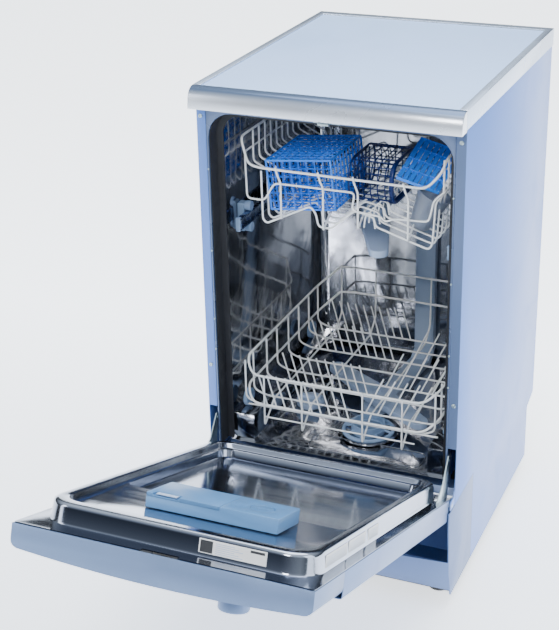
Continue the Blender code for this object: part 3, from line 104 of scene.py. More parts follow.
# %% Floor, tent and lamps
bpy.ops.object.select_all(action="DESELECT")
bpy.ops.mesh.primitive_plane_add(size=60, location=(0, 0, 0))
floor = bpy.context.object
floor.name = "studio_floor"
paper = bpy.data.materials.new("floor_paper")
paper.use_nodes = True
sheet = paper.node_tree.nodes["Principled BSDF"]
sheet.inputs["Base Color"].default_value = (0.90, 0.93, 0.98, 1)
sheet.inputs["Roughness"].default_value = 0.9
# Painted light: the floor paper glows, brighter towards the back, and so also lights the machine from below
# and behind.
sheet.inputs["Emission Color"].default_value = (0.92, 0.96, 1.0, 1)
where = paper.node_tree.nodes.new("ShaderNodeTexCoord")
split = paper.node_tree.nodes.new("ShaderNodeSeparateXYZ")
lit = paper.node_tree.nodes.new("ShaderNodeMapRange")
lit.inputs["From Min"].default_value = -1.1
lit.inputs["From Max"].default_value = 0.9
lit.inputs["To Min"].default_value = 0.35
lit.inputs["To Max"].default_value = 2.6
paper.node_tree.links.new(where.outputs["Object"], split.inputs["Vector"])
paper.node_tree.links.new(split.outputs["Y"], lit.inputs["Value"])
paper.node_tree.links.new(lit.outputs["Result"], sheet.inputs["Emission Strength"])
floor.data.materials.append(paper)

world = bpy.data.worlds.new("light_tent")
bpy.context.scene.world = world
world.use_nodes = True
sky = world.node_tree
background = sky.nodes["Background"]
background.inputs["Color"].default_value = (0.82, 0.91, 1.0, 1)
direction = sky.nodes.new("ShaderNodeTexCoord")
parts = sky.nodes.new("ShaderNodeSeparateXYZ")
height = sky.nodes.new("ShaderNodeMapRange")
height.inputs["From Min"].default_value = 0.15
height.inputs["From Max"].default_value = 0.75
height.inputs["To Min"].default_value = 0.10
height.inputs["To Max"].default_value = 1.25
sky.links.new(direction.outputs["Generated"], parts.inputs["Vector"])
sky.links.new(parts.outputs["Z"], height.inputs["Value"])
sky.links.new(height.outputs["Result"], background.inputs["Strength"])


def softbox(name, spot, aim, width, height, watts, colour=(1, 1, 1)):
    bpy.ops.object.light_add(type="AREA", location=spot)
    lamp = bpy.context.object
    lamp.name = name
    lamp.data.shape = "RECTANGLE"
    lamp.data.size = width
    lamp.data.size_y = height
    lamp.data.energy = watts
    lamp.data.color = colour
    lamp.rotation_mode = "QUATERNION"
    lamp.rotation_quaternion = (Vector(aim) - Vector(spot)).to_track_quat("-Z", "Y")
    return lamp


softbox("overhead_box", (0.3, 0.4, 3.0), (0, 0.1, 0.4), 2.6, 2.6, 105, (0.92, 0.96, 1.0))
softbox("right_box", (3.2, -0.4, 1.6), (0, 0, 0.45), 1.8, 2.4, 40, (0.86, 0.93, 1.0))
softbox("left_box", (-2.6, -1.8, 1.5), (0, -0.2, 0.3), 0.7, 1.8, 34, (0.94, 0.97, 1.0))
softbox("inside_strip", (0.30, -2.2, 2.2), (0, 0.2, 0.5), 0.6, 0.6, 44, (1.0, 0.96, 0.90))
print("stage and lamps ready")

# %% [markdown]
# ## Effects that finishes share
# Five shader groups do the fine work. `tone_drift` lets a colour wander slowly between two close
# tones, as paint and moulded plastic do. `fine_grain` gives a small even bump. `drawn_streaks` makes
# the long faint lines of rolled sheet. The fourth group lifts the roughness in loose patches and finds
# convex edges, which some finishes paint lighter as a painted highlight.
# The fifth group finds the faces that look one way, so that a finish can have a second, darker tone there.
# It is a stand-in, painted shade (on the rolled trim, a painted reflection): the shading it gives belongs to
# the surroundings, and these lamps alone do not make it.


# %% The five shader groups
def new_group(name, inputs, outputs):
    group = bpy.data.node_groups.new(name, "ShaderNodeTree")
    for label, kind, value in inputs:
        socket = group.interface.new_socket(name=label, in_out="INPUT", socket_type=kind)
        socket.default_value = value
    for label, kind in outputs:
        group.interface.new_socket(name=label, in_out="OUTPUT", socket_type=kind)
    entry = group.nodes.new("NodeGroupInput")
    leave = group.nodes.new("NodeGroupOutput")
    return group, entry, leave


def add(tree, kind, **settings):
    node = tree.nodes.new(kind)
    for key, value in settings.items():
        setattr(node, key, value)
    return node


FLOAT, COLOUR, VECTOR = "NodeSocketFloat", "NodeSocketColor", "NodeSocketVector"

tone_drift, entry, leave = new_group("tone_drift", [
    ("Light tone", COLOUR, (0.8, 0.8, 0.8, 1)), ("Deep tone", COLOUR, (0.7, 0.7, 0.7, 1)),
    ("Scale", FLOAT, 6.0)], [("Colour", COLOUR), ("Mask", FLOAT)])
spots = add(tone_drift, "ShaderNodeTexCoord")
cloud = add(tone_drift, "ShaderNodeTexNoise")
cloud.inputs["Detail"].default_value = 5
ramp = add(tone_drift, "ShaderNodeMapRange")
ramp.inputs["From Min"].default_value = 0.32
ramp.inputs["From Max"].default_value = 0.68
blend = add(tone_drift, "ShaderNodeMix", data_type="RGBA")
tone_drift.links.new(spots.outputs["Object"], cloud.inputs["Vector"])
tone_drift.links.new(entry.outputs["Scale"], cloud.inputs["Scale"])
tone_drift.links.new(cloud.outputs["Fac"], ramp.inputs["Value"])
tone_drift.links.new(ramp.outputs["Result"], blend.inputs["Factor"])
tone_drift.links.new(entry.outputs["Light tone"], blend.inputs["A"])
tone_drift.links.new(entry.outputs["Deep tone"], blend.inputs["B"])
tone_drift.links.new(blend.outputs["Result"], leave.inputs["Colour"])
tone_drift.links.new(ramp.outputs["Result"], leave.inputs["Mask"])

fine_grain, entry, leave = new_group("fine_grain", [
    ("Scale", FLOAT, 900.0), ("Strength", FLOAT, 0.1), ("Depth", FLOAT, 0.0002)],
                                     [("Normal", VECTOR), ("Mask", FLOAT)])
spots = add(fine_grain, "ShaderNodeTexCoord")
grit = add(fine_grain, "ShaderNodeTexNoise")
grit.inputs["Detail"].default_value = 2
lift = add(fine_grain, "ShaderNodeBump")
fine_grain.links.new(spots.outputs["Object"], grit.inputs["Vector"])
fine_grain.links.new(entry.outputs["Scale"], grit.inputs["Scale"])
fine_grain.links.new(grit.outputs["Fac"], lift.inputs["Height"])
fine_grain.links.new(entry.outputs["Strength"], lift.inputs["Strength"])
fine_grain.links.new(entry.outputs["Depth"], lift.inputs["Distance"])
fine_grain.links.new(lift.outputs["Normal"], leave.inputs["Normal"])
fine_grain.links.new(grit.outputs["Fac"], leave.inputs["Mask"])

drawn_streaks, entry, leave = new_group("drawn_streaks", [
    ("Stretch", VECTOR, (3, 3, 140)), ("Low", FLOAT, 0.1), ("High", FLOAT, 0.2)],
                                        [("Roughness", FLOAT), ("Mask", FLOAT)])
spots = add(drawn_streaks, "ShaderNodeTexCoord")
pull = add(drawn_streaks, "ShaderNodeMapping")
lines = add(drawn_streaks, "ShaderNodeTexNoise")
lines.inputs["Scale"].default_value = 1
lines.inputs["Detail"].default_value = 3
spread = add(drawn_streaks, "ShaderNodeMapRange")
spread.inputs["From Min"].default_value = 0.3
spread.inputs["From Max"].default_value = 0.7
drawn_streaks.links.new(spots.outputs["Object"], pull.inputs["Vector"])
drawn_streaks.links.new(entry.outputs["Stretch"], pull.inputs["Scale"])
drawn_streaks.links.new(pull.outputs["Vector"], lines.inputs["Vector"])
drawn_streaks.links.new(lines.outputs["Fac"], spread.inputs["Value"])
drawn_streaks.links.new(entry.outputs["Low"], spread.inputs["To Min"])
drawn_streaks.links.new(entry.outputs["High"], spread.inputs["To Max"])
drawn_streaks.links.new(spread.outputs["Result"], leave.inputs["Roughness"])
drawn_streaks.links.new(lines.outputs["Fac"], leave.inputs["Mask"])

# Handling wear and painted highlight: loose patches lift the roughness, and the edge mask marks convex edges
# for a lighter painted highlight.
rough_patches_and_edge_highlight, entry, leave = new_group("rough_patches_and_edge_highlight", [
    ("Base", FLOAT, 0.3), ("Worn", FLOAT, 0.45), ("Scale", FLOAT, 14.0)],
                                         [("Roughness", FLOAT), ("Edge", FLOAT)])
spots = add(rough_patches_and_edge_highlight, "ShaderNodeTexCoord")
smear = add(rough_patches_and_edge_highlight, "ShaderNodeTexNoise")
smear.inputs["Detail"].default_value = 6
smear.inputs["Distortion"].default_value = 0.6
pick = add(rough_patches_and_edge_highlight, "ShaderNodeMapRange")
pick.inputs["From Min"].default_value = 0.48
pick.inputs["From Max"].default_value = 0.72
rim = add(rough_patches_and_edge_highlight, "ShaderNodeNewGeometry")
edge = add(rough_patches_and_edge_highlight, "ShaderNodeMapRange")
edge.inputs["From Min"].default_value = 0.52
edge.inputs["From Max"].default_value = 0.62
rough_patches_and_edge_highlight.links.new(spots.outputs["Object"], smear.inputs["Vector"])
rough_patches_and_edge_highlight.links.new(entry.outputs["Scale"], smear.inputs["Scale"])
rough_patches_and_edge_highlight.links.new(smear.outputs["Fac"], pick.inputs["Value"])
rough_patches_and_edge_highlight.links.new(entry.outputs["Base"], pick.inputs["To Min"])
rough_patches_and_edge_highlight.links.new(entry.outputs["Worn"], pick.inputs["To Max"])
rough_patches_and_edge_highlight.links.new(pick.outputs["Result"], leave.inputs["Roughness"])
rough_patches_and_edge_highlight.links.new(rim.outputs["Pointiness"], edge.inputs["Value"])
rough_patches_and_edge_highlight.links.new(edge.outputs["Result"], leave.inputs["Edge"])

# Painted shade: a mask for the faces that look one way, where a finish paints a second, darker tone.
painted_facing_shade, entry, leave = new_group("painted_facing_shade", [
    ("Direction", VECTOR, (0, 0, 1)), ("Start", FLOAT, 0.2), ("Full", FLOAT, 0.9)], [("Mask", FLOAT)])
facing = add(painted_facing_shade, "ShaderNodeTexCoord")
toward = add(painted_facing_shade, "ShaderNodeVectorMath", operation="DOT_PRODUCT")
share = add(painted_facing_shade, "ShaderNodeMapRange")
painted_facing_shade.links.new(facing.outputs["Normal"], toward.inputs[0])
painted_facing_shade.links.new(entry.outputs["Direction"], toward.inputs[1])
painted_facing_shade.links.new(toward.outputs["Value"], share.inputs["Value"])
painted_facing_shade.links.new(entry.outputs["Start"], share.inputs["From Min"])
painted_facing_shade.links.new(entry.outputs["Full"], share.inputs["From Max"])
painted_facing_shade.links.new(share.outputs["Result"], leave.inputs["Mask"])
print("shader groups:", [g.name for g in bpy.data.node_groups])


# %% [markdown]
# ## Finishes
# One function makes a finish from plain facts: two close tones, how rough it is fresh and worn, how
# coarse its grain is, and how the metal or clear coat behaves. It can also paint a highlight on convex
# edges, and painted shade, a darker tone, on the faces that look one way. Values that are the same all
# over the surface stay on the shader's own sockets.


# %% A finish from its facts
def finish(name, light, deep, rough, worn, grain=900, grain_strength=0.1, metal=0.0, drift=7, marks=14,
           coat=0.0, coat_rough=0.1, specular=0.5, edge_light=0.0, streaks=None, through=0.0, depth=0.0002,
           painted_shade=None):
    mat = bpy.data.materials.new(name)
    mat.use_nodes = True
    tree = mat.node_tree
    shader = tree.nodes["Principled BSDF"]
    shader.inputs["Metallic"].default_value = metal
    shader.inputs["Coat Weight"].default_value = coat
    shader.inputs["Coat Roughness"].default_value = coat_rough
    shader.inputs["Specular IOR Level"].default_value = specular
    shader.inputs["Transmission Weight"].default_value = through
    tones = add(tree, "ShaderNodeGroup", node_tree=tone_drift)
    tones.inputs["Light tone"].default_value = (*light, 1)
    tones.inputs["Deep tone"].default_value = (*deep, 1)
    tones.inputs["Scale"].default_value = drift
    grit = add(tree, "ShaderNodeGroup", node_tree=fine_grain)
    grit.inputs["Scale"].default_value = grain
    grit.inputs["Strength"].default_value = grain_strength
    grit.inputs["Depth"].default_value = depth
    tree.links.new(grit.outputs["Normal"], shader.inputs["Normal"])
    roughness_and_edge_highlight = add(tree, "ShaderNodeGroup", node_tree=rough_patches_and_edge_highlight)
    roughness_and_edge_highlight.inputs["Base"].default_value = rough
    roughness_and_edge_highlight.inputs["Worn"].default_value = worn
    roughness_and_edge_highlight.inputs["Scale"].default_value = marks
    colour = tones.outputs["Colour"]
    # Painted highlight: convex edges get a lighter copy of the light tone.
    if edge_light:
        pale = add(tree, "ShaderNodeMix", data_type="RGBA")
        pale.inputs["B"].default_value = (*[min(1, c * (1 + edge_light)) for c in light], 1)
        tree.links.new(roughness_and_edge_highlight.outputs["Edge"], pale.inputs["Factor"])
        tree.links.new(colour, pale.inputs["A"])
        colour = pale.outputs["Result"]
    # Painted shade: faces that look the given way get the second, darker tone.
    if painted_shade:
        direction, start, full, tone = painted_shade
        look = add(tree, "ShaderNodeGroup", node_tree=painted_facing_shade)
        look.inputs["Direction"].default_value = direction
        look.inputs["Start"].default_value = start
        look.inputs["Full"].default_value = full
        second = add(tree, "ShaderNodeMix", data_type="RGBA")
        second.inputs["B"].default_value = (*tone, 1)
        tree.links.new(look.outputs["Mask"], second.inputs["Factor"])
        tree.links.new(colour, second.inputs["A"])
        colour = second.outputs["Result"]
    tree.links.new(colour, shader.inputs["Base Color"])
    if streaks:
        drawn = add(tree, "ShaderNodeGroup", node_tree=drawn_streaks)
        drawn.inputs["Stretch"].default_value = streaks
        drawn.inputs["Low"].default_value = rough
        drawn.inputs["High"].default_value = worn
        tree.links.new(drawn.outputs["Roughness"], shader.inputs["Roughness"])
    else:
        tree.links.new(roughness_and_edge_highlight.outputs["Roughness"], shader.inputs["Roughness"])
    return mat


# %% The finishes of this machine
silver_enamel = finish("silver_enamel", (0.120, 0.240, 0.62), (0.110, 0.222, 0.58), 0.34, 0.42, grain=1500,
                       grain_strength=0.06, metal=0.18, drift=3, marks=9, coat=0.10, coat_rough=0.25,
                       edge_light=0.12)
# The right panel is the same paint as the left one, with painted shade: its front fold gets a darker tone.
enamel_right_painted_shade = finish("enamel_right_painted_shade", (0.120, 0.240, 0.62), (0.110, 0.222, 0.58), 0.34, 0.42, grain=1500,
                      grain_strength=0.06, metal=0.18, drift=3, marks=9, coat=0.10, coat_rough=0.25,
                      edge_light=0.12,
                      painted_shade=((0, -1, 0), 0.6, 0.95, (0.105, 0.160, 0.300)))
# Painted shade: the plinth is a darker copy of the silver paint, for the recess under the door, and its
# upward faces are painted near black.
enamel_plinth_painted_shade = finish("enamel_plinth_painted_shade", (0.125, 0.195, 0.38), (0.112, 0.178, 0.35), 0.36, 0.46, grain=1500,
                       grain_strength=0.06, metal=0.2, drift=3, marks=9, edge_light=0.12,
                       painted_shade=((0, 0, 1), 0.5, 0.95, (0.035, 0.060, 0.120)))
door_enamel = finish("door_enamel", (0.175, 0.262, 0.47), (0.158, 0.238, 0.43), 0.34, 0.42, grain=1500,
                     grain_strength=0.06, metal=0.35, drift=3, marks=9, coat=0.15, coat_rough=0.25,
                     edge_light=0.12)
silver_trim = finish("silver_trim", (0.55, 0.64, 0.80), (0.51, 0.60, 0.76), 0.24, 0.31, grain=1300,
                     grain_strength=0.05, metal=0.75, drift=4, marks=10, coat=0.2, coat_rough=0.15,
                     edge_light=0.12)
# Painted reflection: the rolled trim gets a bright front, for the pale floor it mirrors, and a dark tone on
# its upward faces, for the dark they mirror.
trim_paint_painted_reflection = finish("trim_paint_painted_reflection", (0.86, 0.90, 0.98), (0.82, 0.87, 0.96), 0.24, 0.31, grain=1300,
                      grain_strength=0.05, metal=0.6, drift=4, marks=10, coat=0.2, coat_rough=0.15,
                      painted_shade=((0, 0, 1), 0.05, 0.75, (0.085, 0.130, 0.220)))
silver_moulding = finish("silver_moulding", (0.17, 0.25, 0.42), (0.15, 0.22, 0.38), 0.36, 0.46, grain=1600,
                         grain_strength=0.10, metal=0.4, drift=5, marks=11, edge_light=0.15)
# Painted shade: the front frame is steel, given a dark blue-grey for the shade on its forward faces and in
# the gap under the trim.
frame_steel_painted_shade = finish("frame_steel_painted_shade", (0.120, 0.170, 0.290), (0.105, 0.150, 0.260), 0.26, 0.34, grain=1500,
                      grain_strength=0.06, metal=0.5, drift=3, marks=9, coat=0.2, coat_rough=0.2)
worktop_laminate = finish("worktop_laminate", (0.46, 0.66, 1.0), (0.43, 0.62, 0.97), 0.45, 0.55, grain=1800,
                          grain_strength=0.22, metal=0.0, drift=5, marks=8, specular=0.4)
polished_steel = finish("polished_steel", (0.43, 0.44, 0.47), (0.33, 0.34, 0.37), 0.06, 0.13, grain=16,
                        grain_strength=0.42, metal=1.0, drift=4, streaks=(60, 60, 2.5), depth=0.0018)
# Painted shade: the liner's wall at the door's top end, which faces forward as the door lies open, gets a
# near-black tone.
liner_steel_painted_shade = finish("liner_steel_painted_shade", (0.42, 0.46, 0.55), (0.33, 0.36, 0.43), 0.08, 0.17, grain=10,
                      grain_strength=0.3, metal=1.0, drift=4, streaks=(2.5, 60, 60), depth=0.0012,
                      painted_shade=((0, -0.943, 0.334), 0.80, 0.99, (0.045, 0.055, 0.085)))
brushed_steel = finish("brushed_steel", (0.30, 0.36, 0.48), (0.25, 0.31, 0.42), 0.20, 0.32, grain=700,
                       grain_strength=0.05, metal=1.0, drift=5, streaks=(160, 160, 4))
zinc_plate = finish("zinc_plate", (0.48, 0.58, 0.60), (0.38, 0.47, 0.50), 0.28, 0.42, grain=260,
                    grain_strength=0.12, metal=1.0, drift=22, marks=30)
black_rubber = finish("black_rubber", (0.022, 0.024, 0.030), (0.014, 0.015, 0.019), 0.55, 0.75, grain=1200,
                      grain_strength=0.2, drift=12, marks=25, specular=0.35)
wire_coating = finish("wire_coating", (0.95, 0.97, 0.98), (0.86, 0.90, 0.93), 0.24, 0.36, grain=500,
                      grain_strength=0.05, drift=16, marks=30, coat=0.3, coat_rough=0.12)
pale_moulding = finish("pale_moulding", (0.24, 0.36, 0.56), (0.20, 0.31, 0.49), 0.38, 0.50, grain=1400,
                       grain_strength=0.12, drift=10, marks=18, edge_light=0.2)
dispenser_plastic = finish("dispenser_plastic", (0.085, 0.215, 0.42), (0.072, 0.185, 0.37), 0.36, 0.48,
                           grain=1400,
                           grain_strength=0.12, drift=9, marks=16, edge_light=0.25)
slate_moulding = finish("slate_moulding", (0.33, 0.43, 0.61), (0.28, 0.37, 0.53), 0.34, 0.50, grain=1300,
                        grain_strength=0.12, drift=10, marks=18, edge_light=0.3)
bright_blue = finish("bright_blue", (0.016, 0.170, 0.80), (0.010, 0.110, 0.60), 0.30, 0.42, grain=1200,
                     grain_strength=0.08, drift=12, marks=22, edge_light=0.5)
deep_blue = finish("deep_blue", (0.004, 0.022, 0.13), (0.003, 0.014, 0.085), 0.32, 0.45, grain=1200,
                   grain_strength=0.08, drift=12, marks=22, edge_light=0.6)
frosted_plastic = finish("frosted_plastic", (0.56, 0.63, 0.76), (0.48, 0.55, 0.68), 0.28, 0.42, grain=900,
                         grain_strength=0.1, drift=14, marks=20, through=0.75)
dark_plastic = finish("dark_plastic", (0.030, 0.032, 0.036), (0.020, 0.021, 0.024), 0.42, 0.60, grain=1100,
                      grain_strength=0.15, drift=12, marks=20, edge_light=0.4)
label_paper = finish("label_paper", (0.82, 0.83, 0.84), (0.76, 0.77, 0.79), 0.40, 0.50, grain=2200,
                     grain_strength=0.08, drift=30, marks=30)
print("finishes:", len([m for m in bpy.data.materials if m.use_nodes]))

# %% [markdown]
# ## Softened copies of the plain pieces
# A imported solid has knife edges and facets. Real sheet has a small bend radius and real mouldings have
# rounded corners, so each plain piece is copied, its triangles merged back into faces, its edges
# bevelled by the radius that the real process leaves, and its curved faces shaded smooth.


# %% Copy, merge, bevel and shade
def only(piece):
    bpy.ops.object.select_all(action="DESELECT")
    piece.select_set(True)
    bpy.context.view_layer.objects.active = piece


def apply_all(piece):
    only(piece)
    for step in list(piece.modifiers):
        bpy.ops.object.modifier_apply(modifier=step.name)


def dress(piece, mat):
    piece.data.materials.clear()
    piece.data.materials.append(mat)


def soften(node, mat, body, radius=0.0006, segments=2, limit=35):
    source = nodes[node]
    piece = source.copy()
    piece.data = source.data.copy()
    piece.name = node + "_shown"
    bpy.context.collection.objects.link(piece)
    only(piece)
    bpy.ops.object.mode_set(mode="EDIT")
    bpy.ops.mesh.select_all(action="SELECT")
    bpy.ops.mesh.remove_doubles(threshold=0.00002)
    bpy.ops.mesh.tris_convert_to_quads(face_threshold=radians(1), shape_threshold=radians(60))
    bpy.ops.object.mode_set(mode="OBJECT")
    if radius:
        step = piece.modifiers.new("edge_radius", "BEVEL")
        step.width = radius
        step.segments = segments
        step.limit_method = "ANGLE"
        step.angle_limit = radians(limit)
        step.use_clamp_overlap = True
        apply_all(piece)
    bpy.ops.object.shade_smooth_by_angle(angle=radians(38))
    dress(piece, mat)
    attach(piece, body)
    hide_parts(node)
    return piece


cabinet_pieces = [
    ("worktop_panel", worktop_laminate, 0.0004, "worktop_laminate"),
    ("worktop_frame", silver_trim, 0.0008, "silver_paint"),
    ("left_side_panel", silver_enamel, 0.0004, "silver_paint"),
    ("right_side_panel", enamel_right_painted_shade, 0.0004, "silver_paint"),
    ("rear_panel", zinc_plate, 0.0005, "zinc_plate"), ("base_tray", dark_plastic, 0.0006, "black_plastic"),
    ("plinth", enamel_plinth_painted_shade, 0.0010, "silver_plastic"), ("tub", polished_steel, 0.0003, "stainless_steel"),
    ("tub_front_frame", frame_steel_painted_shade, 0.0006, "stainless_steel"),
    ("door_gasket", black_rubber, 0.0008, "black_rubber"),
    ("door_strike", zinc_plate, 0.0005, "zinc_plate"), ("sump", slate_moulding, 0.0006, "grey_blue_plastic"),
    ("filter_plate", polished_steel, 0.0006, "pale_plastic"),
    ("wash_pump", dark_plastic, 0.0008, "black_plastic"),
    ("drain_pump", dark_plastic, 0.0008, "black_plastic"),
    ("water_softener", slate_moulding, 0.0010, "grey_blue_plastic"),
    ("inlet_valve", pale_moulding, 0.0005, "pale_plastic"),
    ("cord_gland", dark_plastic, 0.0005, "black_plastic"),
    ("feed_duct", slate_moulding, 0.0020, "grey_blue_plastic"),
    ("door_spring_left", zinc_plate, 0.0, "zinc_plate"),
    ("door_spring_right", zinc_plate, 0.0, "zinc_plate")]
for node, mat, radius, slot in cabinet_pieces:
    soften(node, mat, "cabinet", radius)
door_pieces = [
    ("door_outer_panel", door_enamel, 0.0006, "silver_paint"),
    ("control_panel", silver_moulding, 0.0012, "silver_plastic"),
    ("dispenser_body", dispenser_plastic, 0.0010, "pale_plastic"),
    ("hinge_arm_left", zinc_plate, 0.0003, "zinc_plate"),
    ("hinge_arm_right", zinc_plate, 0.0003, "zinc_plate"),
    ("door_latch", dark_plastic, 0.0006, "black_plastic")]
for node, mat, radius, slot in door_pieces:
    soften(node, mat, "door", radius)
corners = ("front_left", "front_right", "rear_left", "rear_right")
roller_spots = ("top_left", "top_right", "bottom_left", "bottom_right")
own_body = [
    ("hinge_rod", zinc_plate, 0.0, "zinc_plate"), ("program_knob", silver_moulding, 0.0008, "silver_plastic"),
    ("power_button", pale_moulding, 0.0005, "pale_plastic"),
    ("start_button", pale_moulding, 0.0005, "pale_plastic"),
    ("dispenser_lid", dispenser_plastic, 0.0010, "pale_plastic"),
    ("rinse_aid_cap", dispenser_plastic, 0.0006, "pale_plastic")]
own_body += [("wheel_" + corner, pale_moulding, 0.0006, "pale_plastic") for corner in corners]
own_body += [("roller_" + spot, pale_moulding, 0.0005, "pale_plastic") for spot in roller_spots]
own_body += [
    ("upper_spray_arm", slate_moulding, 0.0035, "grey_blue_plastic"),
    ("lower_spray_arm", slate_moulding, 0.0035, "grey_blue_plastic"),
    ("filter_cylinder", pale_moulding, 0.0006, "pale_plastic"),
    ("salt_cap", slate_moulding, 0.0012, "grey_blue_plastic")]
own_body += [("foot_" + corner, dark_plastic, 0.0006, "black_plastic") for corner in corners]
for node, mat, radius, slot in own_body:
    soften(node, mat, node, radius, segments=3)
soften("rail_left", brushed_steel, "upper_rails", 0.0004)
soften("rail_right", brushed_steel, "upper_rails", 0.0004)
soften("upper_manifold", slate_moulding, "upper_basket", 0.0015)
soften("salt_funnel", frosted_plastic, "upper_basket", 0.0004)

# %% [markdown]
# ## Worktop front trim
# The front edge is an extruded, rolled strip: one clean curve from the laminate down to a square lower
# lip. It is drawn as a quarter of an ellipse and pushed along the width, then the ends are rounded.

# %% Rolled front trim
low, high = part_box("worktop_front_trim")
bpy.ops.object.select_all(action="DESELECT")
bpy.ops.mesh.primitive_plane_add(size=0.01, location=(0, 0, 0))
trim = bpy.context.object
trim.name = "rolled_front_trim"
low[2] -= 0.0030
deep, tall = high[1] - low[1], high[2] - low[2]
curve = [(high[1], high[2] - 0.0006)] + [
    (high[1] - 0.003 - (deep - 0.003) * sin(radians(a)) ** 0.85,
     low[2] + 0.0015 + (tall - 0.0015) * cos(radians(a)) ** 0.85)
    for a in range(0, 91, 6)] + [(low[1] + 0.0002, low[2] + 0.0004), (low[1] + 0.0012, low[2]),
                                 (high[1], low[2])]
work = bmesh.new()
ring = [work.verts.new((low[0], y, z)) for y, z in curve]
cap = work.faces.new(ring)
pushed = bmesh.ops.extrude_face_region(work, geom=[cap])
bmesh.ops.translate(work, verts=[v for v in pushed["geom"] if isinstance(v, bmesh.types.BMVert)],
                    vec=(high[0] - low[0], 0, 0))
bmesh.ops.recalc_face_normals(work, faces=work.faces)
work.to_mesh(trim.data)
work.free()
step = trim.modifiers.new("ends", "BEVEL")
step.width = 0.0022
step.segments = 3
step.limit_method = "ANGLE"
step.angle_limit = radians(60)
apply_all(trim)
bpy.ops.object.shade_smooth_by_angle(angle=radians(40))
# The rolled trim wears the finish with painted reflection.
dress(trim, trim_paint_painted_reflection)
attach(trim, "cabinet")
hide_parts("worktop_front_trim")
print("front trim", len(trim.data.polygons), "faces")

# %% [markdown]
# ## Pressed door liner
# The liner is one steel sheet pressed into a tray: a flat flange for the gasket's edge, a raised rim with
# generous corner radii, a shallow shelf that carries the dispenser and a deeper pocket below it. A press
# leaves no sharp edge, so each step of the tray is a ring of points joined to the next, and every bend
# gets two extra rings that round it.


# %% Tray from rings
def tray_ring(half, low_z, high_z, small, large, y):
    ring = []
    for sx, z, r, start in ((1, high_z, large, 0), (-1, high_z, large, 90), (-1, low_z, small, 180),
                            (1, low_z, small, 270)):
        cz = z - r if z == high_z else z + r
        for k in range(9):
            a = radians(start + 11.25 * k)
            ring.append((sx * (half - r) + r * cos(a), y, cz + r * sin(a)))
    return ring


def outer(inset, y, grow=0.0):
    return tray_ring(0.2000 - inset, 0.2205 + inset, 0.7995 - inset, 0.030 + grow, 0.045 - inset * 0.5 + grow,
                     y)


def inner(inset, y, top=0.7747):
    return tray_ring(0.1832 - inset, 0.2350 + inset, top - inset, 0.022, 0.034 - inset * 0.5, y)


skin = -0.0020
rings = [tray_ring(0.2172, 0.1840, 0.8318, 0.003, 0.003, skin),
         outer(-0.0040, skin, 0.004), outer(-0.0014, skin + 0.0006, 0.0014), outer(-0.0002, skin + 0.0030),
         outer(0.0016, 0.0210), outer(0.0026, 0.0250), outer(0.0052, 0.0268), outer(0.0075, 0.0270),
         inner(-0.0030, 0.0270), inner(-0.0010, 0.0266), inner(0.0004, 0.0250), inner(0.0022, 0.0185),
         inner(0.0036, 0.0172), inner(0.0060, 0.0170)]
shelf = [tray_ring(0.1772, 0.2410, 0.6030, 0.020, 0.022, 0.0170),
         tray_ring(0.1755, 0.2424, 0.6012, 0.020, 0.021, 0.0160),
         tray_ring(0.1735, 0.2444, 0.5992, 0.020, 0.021, 0.0050),
         tray_ring(0.1705, 0.2474, 0.5962, 0.020, 0.021, 0.0031),
         tray_ring(0.1600, 0.2580, 0.5860, 0.020, 0.021, 0.0030)]
bpy.ops.object.select_all(action="DESELECT")
bpy.ops.mesh.primitive_plane_add(size=0.01, location=(0, 0, 0))
liner = bpy.context.object
liner.name = "pressed_door_liner"
work = bmesh.new()
loops = [[work.verts.new(place(*p)) for p in ring] for ring in rings + shelf]
for one, two in zip(loops, loops[1:]):
    for i in range(len(one)):
        j = (i + 1) % len(one)
        work.faces.new((one[i], one[j], two[j], two[i]))
work.faces.new(loops[-1])
bmesh.ops.recalc_face_normals(work, faces=work.faces)
if sum(f.normal.y for f in work.faces if abs(f.normal.y) > 0.9) < 0:
    bmesh.ops.reverse_faces(work, faces=work.faces)
work.to_mesh(liner.data)
work.free()
step = liner.modifiers.new("sheet", "SOLIDIFY")
step.thickness = 0.0010
step.offset = -1
apply_all(liner)
bpy.ops.mesh.primitive_cube_add(size=1, location=place(0, 0, 0.8290))
slot_tool = bpy.context.object
slot_tool.scale = (0.054, 0.040, 0.0110)
bpy.ops.object.transform_apply(location=True, rotation=True, scale=True)
step = liner.modifiers.new("latch_slot", "BOOLEAN")
step.operation = "DIFFERENCE"
step.object = slot_tool
apply_all(liner)
bpy.data.objects.remove(slot_tool)
bpy.ops.object.shade_smooth_by_angle(angle=radians(45))
# The liner wears the steel finish with painted shade on its top-end wall.
dress(liner, liner_steel_painted_shade)
swing(liner)
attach(liner, "door")
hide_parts("door_inner_liner")
print("door liner", len(liner.data.polygons), "faces")

# %% [markdown]
# ## Round wire
# The baskets are welded from round steel wire dipped in white plastic. A wire is a curve with a round
# section: it is drawn as corner points, each corner gets the small bend radius of a wire bender, and
# all wires of one basket are turned into one mesh. This is lighter and rounder than joining cylinders.


# %% Bend and convert wires
def bent(points, radius, steps=4):
    path = [points[0]]
    for before, corner, after in zip(points, points[1:], points[2:]):
        one, two = before - corner, after - corner
        reach = min(radius, one.length * 0.49, two.length * 0.49)
        if one.angle(two, pi) > radians(176):
            path.append(corner)
            continue
        start, end = corner + one.normalized() * reach, corner + two.normalized() * reach
        for i in range(steps + 1):
            t = i / steps
            path.append(start * (1 - t) ** 2 + corner * 2 * t * (1 - t) + end * t ** 2)
    path.append(points[-1])
    return path


